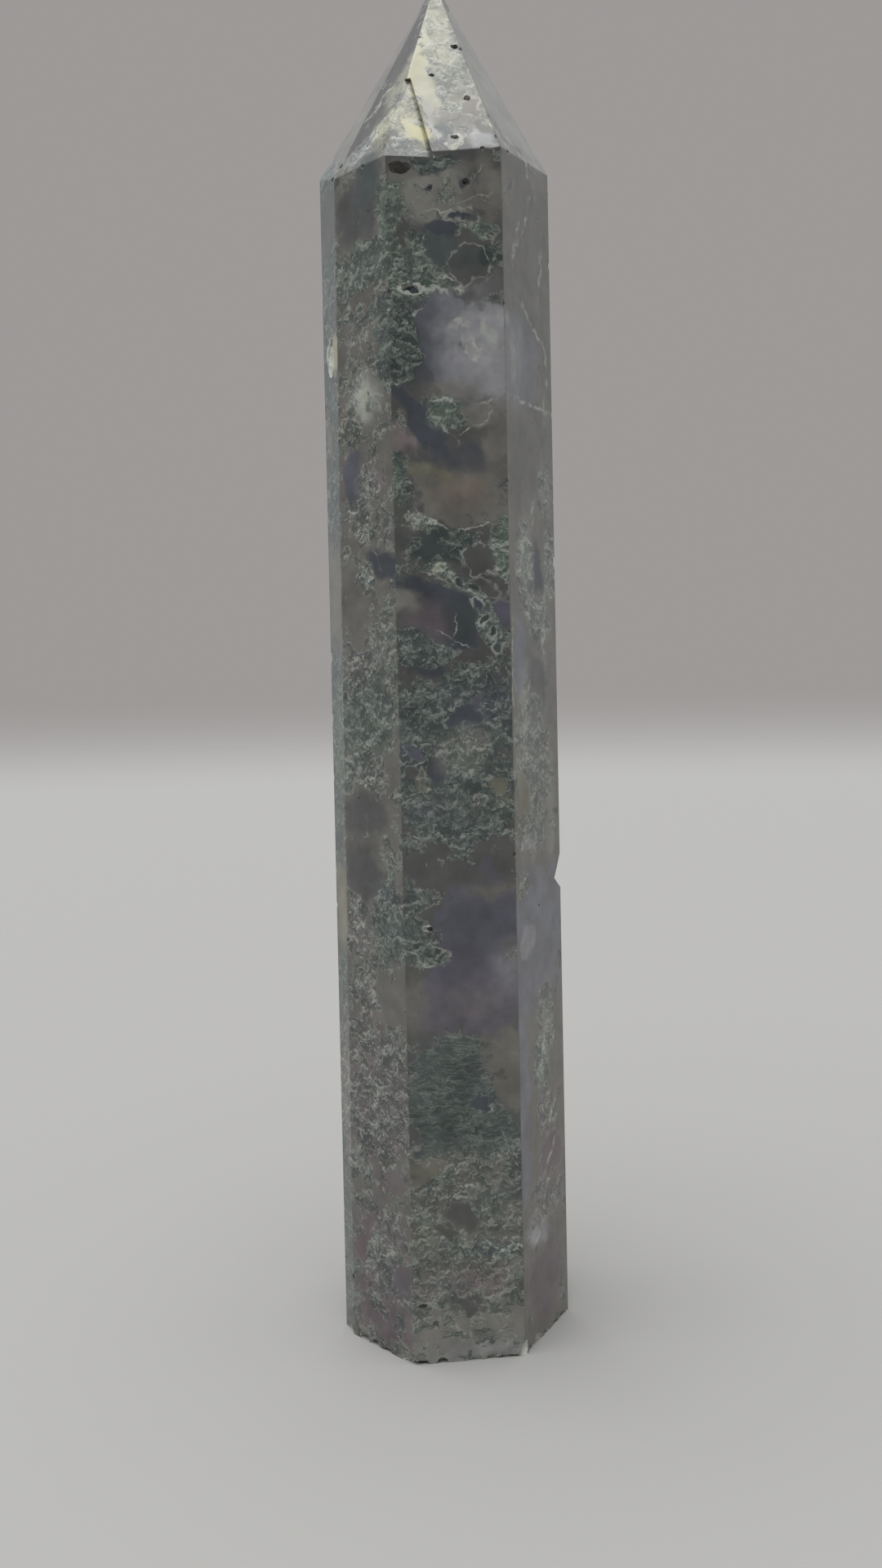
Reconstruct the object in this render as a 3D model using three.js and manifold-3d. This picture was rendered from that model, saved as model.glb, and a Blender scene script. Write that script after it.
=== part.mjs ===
// Moss agate tower: one piece of translucent agate, ground to a seven-sided column with a pointed tip.
// Millimetres, +Z up. It stands on its flat sawn base, whose middle is the origin, and its widest
// polished side faces -Y. A turn is an angle about +Z from -Y towards +X.

import * as THREE from 'three';
import { ConvexGeometry } from 'three/addons/geometries/ConvexGeometry.js';
import { ImprovedNoise } from 'three/addons/math/ImprovedNoise.js';
import { mergeVertices } from 'three/addons/utils/BufferGeometryUtils.js';
import Module from 'manifold-3d';

const wasm = await Module();
wasm.setup();

// Driving dimensions of the polished faces, in order round the column. Reach is the distance from the
// axis to the face, at the base and at the shoulder. Corner is the height at which the edge between
// this face and the next one meets the tip: hand grinding leaves each at its own height.
const FACES = [
  { name: 'front', turn: 7.5, baseReach: 11.6, shoulderReach: 11.5, corner: 135.5 },
  { name: 'right', turn: 62.5, baseReach: 12.1, shoulderReach: 11.8, corner: 136.6 },
  { name: 'rear right', turn: 126, baseReach: 12.05, shoulderReach: 11.85, corner: 135.4 },
  { name: 'rear', turn: 186, baseReach: 11.95, shoulderReach: 11.75, corner: 134.8 },
  { name: 'rear left', turn: 246.5, baseReach: 11.45, shoulderReach: 11.45, corner: 136.0 },
  { name: 'narrow left', turn: 292, baseReach: 12.8, shoulderReach: 12.1, corner: 134.2 },
  { name: 'left', turn: 313, baseReach: 11.8, shoulderReach: 11.8, corner: 134.3 },
];
const SHOULDER_HEIGHT = 135;
const APEX = new THREE.Vector3(1.1, 0, 158);
const BLUNTED_HEIGHT = 157.2;

// The crack down the front of the tip: the stone to its left has broken away to a shallow step, deepest
// at the crack and running out towards the left edge.
const CRACK = {
  top: { across: 0.05, height: 144.5 },
  bottom: { across: 0.41, height: 134.2 },
  depth: 0.5,
  width: 6.4,
};

// Natural pits and hollows in the faces, placed by their share of the way across a face from its left
// edge, and by their height. The hollow under the crack is the deepest on the front.
const PITS = [
  { face: 'front', across: 0.12, height: 133.0, wide: 2.3, high: 1.4, deep: 0.9 },
  { face: 'front', across: 0.17, height: 120.5, wide: 1.4, high: 0.85, deep: 0.5 },
  { face: 'front', across: 0.69, height: 131.7, wide: 0.8, high: 0.8, deep: 0.5 },
  { face: 'front', across: 0.38, height: 131.1, wide: 0.6, high: 0.5, deep: 0.3 },
  { face: 'front', across: 0.23, height: 50.1, wide: 0.7, high: 0.7, deep: 0.35 },
  { face: 'front', across: 0.09, height: 6.8, wide: 1.0, high: 0.7, deep: 0.4 },
  { face: 'front', across: 0.2, height: 4.6, wide: 0.8, high: 0.9, deep: 0.4 },
  { face: 'front', across: 0.37, height: 145.0, wide: 0.7, high: 0.5, deep: 0.4 },
  { face: 'front', across: 0.86, height: 149.0, wide: 0.9, high: 0.8, deep: 0.4 },
  { face: 'front', across: 0.82, height: 141.9, wide: 0.8, high: 0.8, deep: 0.4 },
  { face: 'front', across: 0.6, height: 136.7, wide: 1.0, high: 0.7, deep: 0.4 },
  { face: 'narrow left', across: 0.5, height: 115.3, wide: 2.6, high: 4.4, deep: 0.45 },
  { face: 'rear', across: 0.62, height: 97.0, wide: 2.8, high: 1.7, deep: 1.0 },
  { face: 'rear', across: 0.3, height: 26.0, wide: 1.2, high: 0.9, deep: 0.5 },
  { face: 'rear right', across: 0.45, height: 119.0, wide: 1.5, high: 1.0, deep: 0.6 },
  { face: 'rear left', across: 0.4, height: 41.0, wide: 1.8, high: 1.1, deep: 0.7 },
];

// Small chips on the long edges, each on the edge where the named face ends. Breadth is their width
// across the edge for each millimetre of bite.
const NICK_BREADTH = 1.6;
const NICKS = [
  { face: 'right', height: 91.8, long: 1.5, bite: 0.45 },
  { face: 'rear left', height: 80.9, long: 1.6, bite: 0.45 },
  { face: 'rear left', height: 73.7, long: 1.2, bite: 0.35 },
  { face: 'rear', height: 62.0, long: 3.2, bite: 0.7 },
  { face: 'rear right', height: 14.5, long: 2.4, bite: 0.6 },
];

// The deepest chip, a V in the edge between the right face and the one behind it. Its sides rise and
// fall this much by the time they reach the edge, and its valley slopes along its length.
const NOTCH = { face: 'right', height: 54.2, rise: 2.9, fall: 1.6, bite: 1.05, halfLength: 4, slope: 0.12 };

// The sawn base is left unpolished, and its rim is chipped all the way round.
const RIM_CHIP = { spacing: 2.5, stray: 0.5, wide: [1.3, 3.0], deep: [0.45, 1.3], high: [0.4, 1.15] };
const RIM_SEED = 4211;
const PIT_SEED = 977;
const CORNER_CHIP = { face: 'front', wide: 2.6, deep: 1.9, high: 2.2, seed: 7.3 };

// Chips are cut with finer lumps than the smallest pits.
const LUMP_DETAIL = 2;
const SMALL_LUMP_DETAIL = 1;
const SMALL_LUMP_WIDTH = 1.3;
const LUMP_ROUGHNESS = 0.45;
const LUMP_NOISE_SCALE = 1.7;
const LUMP_VARIETY = 10;
const STONE_COLOUR = 0x59605d;

const noise = new ImprovedNoise();

// A repeatable stream of numbers from 0 to 1.
function randomStream(seed) {
  let state = seed;
  return () => {
    state = (state * 16807) % 2147483647;
    return state / 2147483647;
  };
}

function between(range, share) {
  return range[0] + (range[1] - range[0]) * share;
}

function outward(turn) {
  const angle = THREE.MathUtils.degToRad(turn);
  return new THREE.Vector3(Math.sin(angle), -Math.cos(angle), 0);
}

function reachAt(face, height) {
  return THREE.MathUtils.lerp(face.baseReach, face.shoulderReach, height / SHOULDER_HEIGHT);
}

function faceIndex(name) {
  return FACES.findIndex((face) => face.name === name);
}

// The point at a height where a face's plane meets the plane of the next face round.
function edgePoint(index, height) {
  const face = FACES[index];
  const next = FACES[(index + 1) % FACES.length];
  const a = outward(face.turn);
  const b = outward(next.turn);
  const reachA = reachAt(face, height);
  const reachB = reachAt(next, height);
  const cross = a.x * b.y - a.y * b.x;
  const x = (reachA * b.y - reachB * a.y) / cross;
  const y = (reachB * a.x - reachA * b.x) / cross;
  return new THREE.Vector3(x, y, height);
}

// The edge after a face, followed up past its shoulder corner and on to the apex.
function edgeAt(index, height) {
  const { corner } = FACES[index];
  if (height <= corner) return edgePoint(index, height);
  const share = (height - corner) / (APEX.z - corner);
  return edgePoint(index, corner).lerp(APEX, share);
}

function onFace(name, across, height) {
  const index = faceIndex(name);
  const left = edgeAt((index + FACES.length - 1) % FACES.length, height);
  return left.lerp(edgeAt(index, height), across);
}

function solid(geometry) {
  geometry.deleteAttribute('normal');
  geometry.deleteAttribute('uv');
  const merged = mergeVertices(geometry);
  const vertProperties = merged.attributes.position.array;
  const triVerts = new Uint32Array(merged.index.array);
  return new wasm.Manifold(new wasm.Mesh({ numProp: 3, vertProperties, triVerts }));
}

// The polished column and tip, before any damage.
function polishedForm() {
  const points = [];
  FACES.forEach((face, index) => {
    points.push(edgeAt(index, 0), edgeAt(index, face.corner), edgeAt(index, BLUNTED_HEIGHT));
  });
  return solid(new ConvexGeometry(points));
}

// A rough lump of the given half sizes, turned to a face: x runs along the face and y into it.
function roughLump(halfSizes, turn, centre, seed) {
  const small = 2 * halfSizes.x < SMALL_LUMP_WIDTH;
  const geometry = new THREE.IcosahedronGeometry(1, small ? SMALL_LUMP_DETAIL : LUMP_DETAIL);
  const position = geometry.attributes.position;
  const point = new THREE.Vector3();
  for (let i = 0; i < position.count; i += 1) {
    point.fromBufferAttribute(position, i);
    const sample = point.clone().multiplyScalar(LUMP_NOISE_SCALE).addScalar(seed);
    const swell = 1 + LUMP_ROUGHNESS * noise.noise(sample.x, sample.y, sample.z);
    point.multiplyScalar(swell).multiply(halfSizes);
    position.setXYZ(i, point.x, point.y, point.z);
  }
  geometry.rotateZ(THREE.MathUtils.degToRad(turn));
  geometry.translate(centre.x, centre.y, centre.z);
  return solid(geometry);
}

function pit(flaw, seed) {
  const { turn } = FACES[faceIndex(flaw.face)];
  const halfSizes = new THREE.Vector3(flaw.wide / 2, flaw.deep, flaw.high / 2);
  return roughLump(halfSizes, turn, onFace(flaw.face, flaw.across, flaw.height), seed);
}

function edgeTurn(index) {
  const turn = FACES[index].turn;
  const nextTurn = FACES[(index + 1) % FACES.length].turn;
  const gap = (nextTurn - turn + 360) % 360;
  return turn + gap / 2;
}

function nick(flaw, seed) {
  const index = faceIndex(flaw.face);
  const halfSizes = new THREE.Vector3(flaw.bite * NICK_BREADTH, flaw.bite, flaw.long / 2);
  return roughLump(halfSizes, edgeTurn(index), edgeAt(index, flaw.height), seed);
}

// The V-shaped notch: a three-sided bar laid level across the edge.
function notch() {
  const index = faceIndex(NOTCH.face);
  const turn = edgeTurn(index);
  const out = outward(turn);
  const along = outward(turn + 90);
  const valley = edgeAt(index, NOTCH.height).addScaledVector(out, -NOTCH.bite);
  const overrun = 2.5;
  const points = [];
  [-NOTCH.halfLength, NOTCH.halfLength].forEach((side) => {
    const deepest = valley.clone().addScaledVector(along, side);
    deepest.z += side * NOTCH.slope;
    const outside = deepest.clone().addScaledVector(out, NOTCH.bite * overrun);
    const upper = outside.clone();
    upper.z += NOTCH.rise * overrun;
    const lower = outside.clone();
    lower.z -= NOTCH.fall * overrun;
    points.push(deepest, upper, lower);
  });
  return solid(new ConvexGeometry(points));
}

// The step beside the crack: a wedge whose steep end is the crack and whose floor runs out to the left.
function crackStep() {
  const top = onFace('front', CRACK.top.across, CRACK.top.height);
  const bottom = onFace('front', CRACK.bottom.across, CRACK.bottom.height);
  const { turn } = FACES[faceIndex('front')];
  const out = outward(turn);
  const along = outward(turn + 90);
  const clear = CRACK.width / 2;
  const points = [];
  [top, bottom].forEach((end) => {
    const runOut = end.clone().addScaledVector(along, -CRACK.width);
    points.push(end.clone().addScaledVector(out, -CRACK.depth), runOut);
    points.push(end.clone().addScaledVector(out, clear), runOut.clone().addScaledVector(out, clear));
  });
  return solid(new ConvexGeometry(points));
}

// Bites out of the rim, side by side, with gaps where the sawn edge is whole.
function rimChips() {
  const random = randomStream(RIM_SEED);
  const chips = [];
  FACES.forEach((face, index) => {
    const start = edgeAt((index + FACES.length - 1) % FACES.length, 0);
    const end = edgeAt(index, 0);
    const count = Math.max(1, Math.round(start.distanceTo(end) / RIM_CHIP.spacing));
    for (let i = 0; i < count; i += 1) {
      const share = (i + 0.5 + RIM_CHIP.stray * (random() - 0.5)) / count;
      const centre = start.clone().lerp(end, share);
      const wide = between(RIM_CHIP.wide, random());
      const deep = between(RIM_CHIP.deep, random() ** 2);
      const high = between(RIM_CHIP.high, random() ** 2);
      const halfSizes = new THREE.Vector3(wide / 2, deep, high);
      chips.push(roughLump(halfSizes, face.turn, centre, LUMP_VARIETY * random()));
    }
  });
  return chips;
}

function cornerChip() {
  const index = faceIndex(CORNER_CHIP.face);
  const halfSizes = new THREE.Vector3(CORNER_CHIP.wide / 2, CORNER_CHIP.deep / 2, CORNER_CHIP.high);
  const centre = edgeAt(index, 0).addScaledVector(outward(edgeTurn(index)), CORNER_CHIP.deep / 4);
  return roughLump(halfSizes, edgeTurn(index), centre, CORNER_CHIP.seed);
}

function towerGeometry() {
  const random = randomStream(PIT_SEED);
  const pits = PITS.map((flaw) => pit(flaw, LUMP_VARIETY * random()));
  const nicks = NICKS.map((flaw) => nick(flaw, LUMP_VARIETY * random()));
  let stone = polishedForm();
  [crackStep(), notch(), cornerChip(), ...rimChips(), ...pits, ...nicks].forEach((waste) => {
    stone = stone.subtract(waste);
  });
  const mesh = stone.getMesh();
  const geometry = new THREE.BufferGeometry();
  geometry.setAttribute('position', new THREE.BufferAttribute(mesh.vertProperties, 3));
  geometry.setIndex(new THREE.BufferAttribute(mesh.triVerts, 1));
  geometry.computeBoundingBox();
  const middle = geometry.boundingBox.getCenter(new THREE.Vector3());
  geometry.translate(-middle.x, -middle.y, 0);
  geometry.computeVertexNormals();
  return geometry;
}

const polishedAgate = new THREE.MeshStandardMaterial({
  color: STONE_COLOUR,
  roughness: 0.18,
  metalness: 0,
  flatShading: true,
});

const tower = new THREE.Mesh(towerGeometry(), polishedAgate);
tower.name = 'moss_agate_tower';

const object = new THREE.Group();
object.add(tower);

export default object;
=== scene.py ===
"""A polished moss agate tower standing on a pale table, lit by soft studio light."""

import math
import random
from collections import namedtuple

import bmesh
import bpy
from mathutils import Matrix, Vector


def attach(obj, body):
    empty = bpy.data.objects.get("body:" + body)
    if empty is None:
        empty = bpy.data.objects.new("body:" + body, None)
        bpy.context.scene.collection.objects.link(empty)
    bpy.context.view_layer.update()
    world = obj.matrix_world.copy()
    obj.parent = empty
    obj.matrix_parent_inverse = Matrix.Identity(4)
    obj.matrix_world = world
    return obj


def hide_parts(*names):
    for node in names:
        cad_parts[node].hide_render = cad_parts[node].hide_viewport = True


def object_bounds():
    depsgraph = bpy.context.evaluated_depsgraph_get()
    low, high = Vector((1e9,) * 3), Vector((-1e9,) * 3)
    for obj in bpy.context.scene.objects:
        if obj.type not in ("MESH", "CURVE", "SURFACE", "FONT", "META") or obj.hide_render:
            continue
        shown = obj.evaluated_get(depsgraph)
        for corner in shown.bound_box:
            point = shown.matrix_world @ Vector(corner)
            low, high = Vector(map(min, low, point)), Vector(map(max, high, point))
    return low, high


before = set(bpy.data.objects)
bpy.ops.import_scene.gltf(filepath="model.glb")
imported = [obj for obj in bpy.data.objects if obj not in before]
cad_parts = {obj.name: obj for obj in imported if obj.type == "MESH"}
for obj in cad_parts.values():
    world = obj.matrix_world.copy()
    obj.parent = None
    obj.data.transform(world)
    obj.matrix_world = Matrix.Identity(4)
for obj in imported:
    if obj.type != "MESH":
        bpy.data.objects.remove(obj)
CAD_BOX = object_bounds()
STONE_NODE = "moss_agate_tower"
MM = 0.001

bl_info = {
    "name": "Moss agate tower",
    "version": (1, 0, 0),
    "blender": (4, 5, 0),
    "location": "3D View > Sidebar > Agate",
    "description": "Makes a polished moss agate tower and the pale table it stands on",
    "category": "Object",
}


def length_setting(name, description, default):
    """A length that the user can change, given in millimetres."""
    return bpy.props.FloatProperty(name=name, description=description, default=default * MM,
                                   unit="LENGTH", subtype="DISTANCE")


def colour_setting(name, description, default):
    """A colour that the user can change, as it is picked on screen."""
    return bpy.props.FloatVectorProperty(name=name, description=description, default=default,
                                         subtype="COLOR_GAMMA", min=0.0, max=1.0)


class StoneSizes(bpy.types.PropertyGroup):
    """Sizes of the ground and polished form."""

    edge_rounding: length_setting("Edge rounding", "Width of the polished rounding on each edge", 0.24)
    polish_depth: length_setting("Polish depth", "How far the polish goes below the ground faces", 0.01)
    nose_start: length_setting("Nose start", "Height at which the nose of the tip begins", 155.0)
    chip_grain: length_setting("Chip grain", "Size of the facets on a chipped or broken surface", 0.25)
    chip_roughness: length_setting("Chip roughness", "Height of the grain on broken surfaces", 0.12)
    edge_nicks: bpy.props.IntProperty(
        name="Edge nicks", description="Tiny nicks on each long edge", default=5, min=0)
    face_pits: bpy.props.IntProperty(
        name="Face pits", description="Pinhole pits on each side of the stone", default=8, min=0)


class StoneColours(bpy.types.PropertyGroup):
    """Tones of the stone."""

    smoke: colour_setting("Smoke", "Clear brown-grey agate", (0.495, 0.484, 0.46))
    umber: colour_setting("Umber", "Warm brown haze", (0.52, 0.485, 0.44))
    charcoal: colour_setting("Charcoal", "Clear dark grey agate", (0.375, 0.377, 0.37))
    night: colour_setting("Night blue", "The deepest clear windows", (0.30, 0.318, 0.35))
    plum: colour_setting("Plum", "Clear agate with a violet cast", (0.40, 0.396, 0.448))
    maroon: colour_setting("Maroon", "Clear agate with a red-brown cast", (0.46, 0.41, 0.425))
    lavender: colour_setting("Lavender", "Cloudy blue-grey agate", (0.51, 0.515, 0.545))
    milk: colour_setting("Milk", "Milky white cloud", (0.70, 0.70, 0.71))
    mauve: colour_setting("Mauve", "Warm grey with a rosy cast", (0.535, 0.495, 0.495))
    olive: colour_setting("Olive", "Yellow-green haze", (0.53, 0.52, 0.45))
    ash: colour_setting("Ash", "Pale grey agate", (0.56, 0.555, 0.53))
    teal: colour_setting("Teal", "Blue-green haze round the moss", (0.335, 0.372, 0.372))
    cream: colour_setting("Cream", "Opaque creamy crust at the tip", (0.755, 0.747, 0.66))
    straw: colour_setting("Straw", "Yellow stain in the crust", (0.80, 0.79, 0.63))
    deep_moss: colour_setting("Deep moss", "Moss seen deep in the stone", (0.262, 0.305, 0.298))
    moss: colour_setting("Moss", "Green of the moss strands", (0.41, 0.462, 0.425))
    lace: colour_setting("Lace", "Pale rims of the moss cells", (0.77, 0.78, 0.745))


class StageSettings(bpy.types.PropertyGroup):
    """The table, the light and the camera."""

    camera_distance: length_setting("Camera distance", "Level distance from camera to stone", 161.67)
    camera_height: length_setting("Camera height", "Height of the camera above the table", 76.5)
    camera_side: length_setting("Camera side", "Camera to the right of the middle of the stone", -0.7)
    camera_pitch: bpy.props.FloatProperty(
        name="Camera pitch", description="How far the camera looks down",
        default=math.radians(3.87), subtype="ANGLE")
    camera_roll: bpy.props.FloatProperty(
        name="Camera roll", description="Turn of the camera about its line of sight",
        default=math.radians(-1.25), subtype="ANGLE")
    lens: bpy.props.FloatProperty(
        name="Lens", description="Focal length in millimetres, on a 36 mm frame", default=31.0)
    table_reach: bpy.props.FloatProperty(
        name="Table reach", description="Half width of the table top",
        default=30.0, unit="LENGTH", subtype="DISTANCE")
    wall: colour_setting("Wall", "Tone of the backdrop", (0.615, 0.602, 0.597))
    table: colour_setting("Table", "Tone of the table top", (0.56, 0.557, 0.55))
    overhead: bpy.props.FloatProperty(
        name="Overhead light", description="Strength of the broad light above", default=4.6)
    room: bpy.props.FloatProperty(
        name="Room light", description="Strength of the even light from all round", default=0.46)


# What the pattern is made of. Every region is an ellipse on one unrolled face of the stone: at is its
# middle and size its half width and half height in mm, across the face and up from the base, and tilt
# turns it anticlockwise in degrees. moss is how thickly the moss grows in it, pale how white the moss
# is, and streak how far the moss is drawn out into level streaks. soft is the share of the ellipse over
# which it fades out, rim how strong a pale line runs round it, and strength how much of it shows. A later
# region lies over an earlier one.
Region = namedtuple("Region", "name at size tone moss pale streak tilt soft rim strength")


def region(name, at, size, tone, moss, pale=0.4, streak=0.0, tilt=0.0, soft=0.3, rim=0.0, strength=1.0):
    """One region of a face, with the usual values filled in."""
    return Region(name, at, size, tone, moss, pale, streak, tilt, soft, rim, strength)


def ground(name, tone, moss, pale):
    """What a whole face has where no other region lies over it."""
    return region(name, (0, 68), (12, 100), tone, moss, pale, soft=0.01)


def window(name, at, size, tone, **more):
    """A clear stretch without moss."""
    return region(name, at, size, tone, 0.0, **more)


def haze(name, at, size, tone, strength=1.0, **more):
    """A clear stretch that fades out slowly all round."""
    return window(name, at, size, tone, soft=0.8, strength=strength, **more)


# A fine pale line: its middle, half length, half thickness, tilt and strength.
Vein = namedtuple("Vein", "name at length thickness tilt strength")

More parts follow.
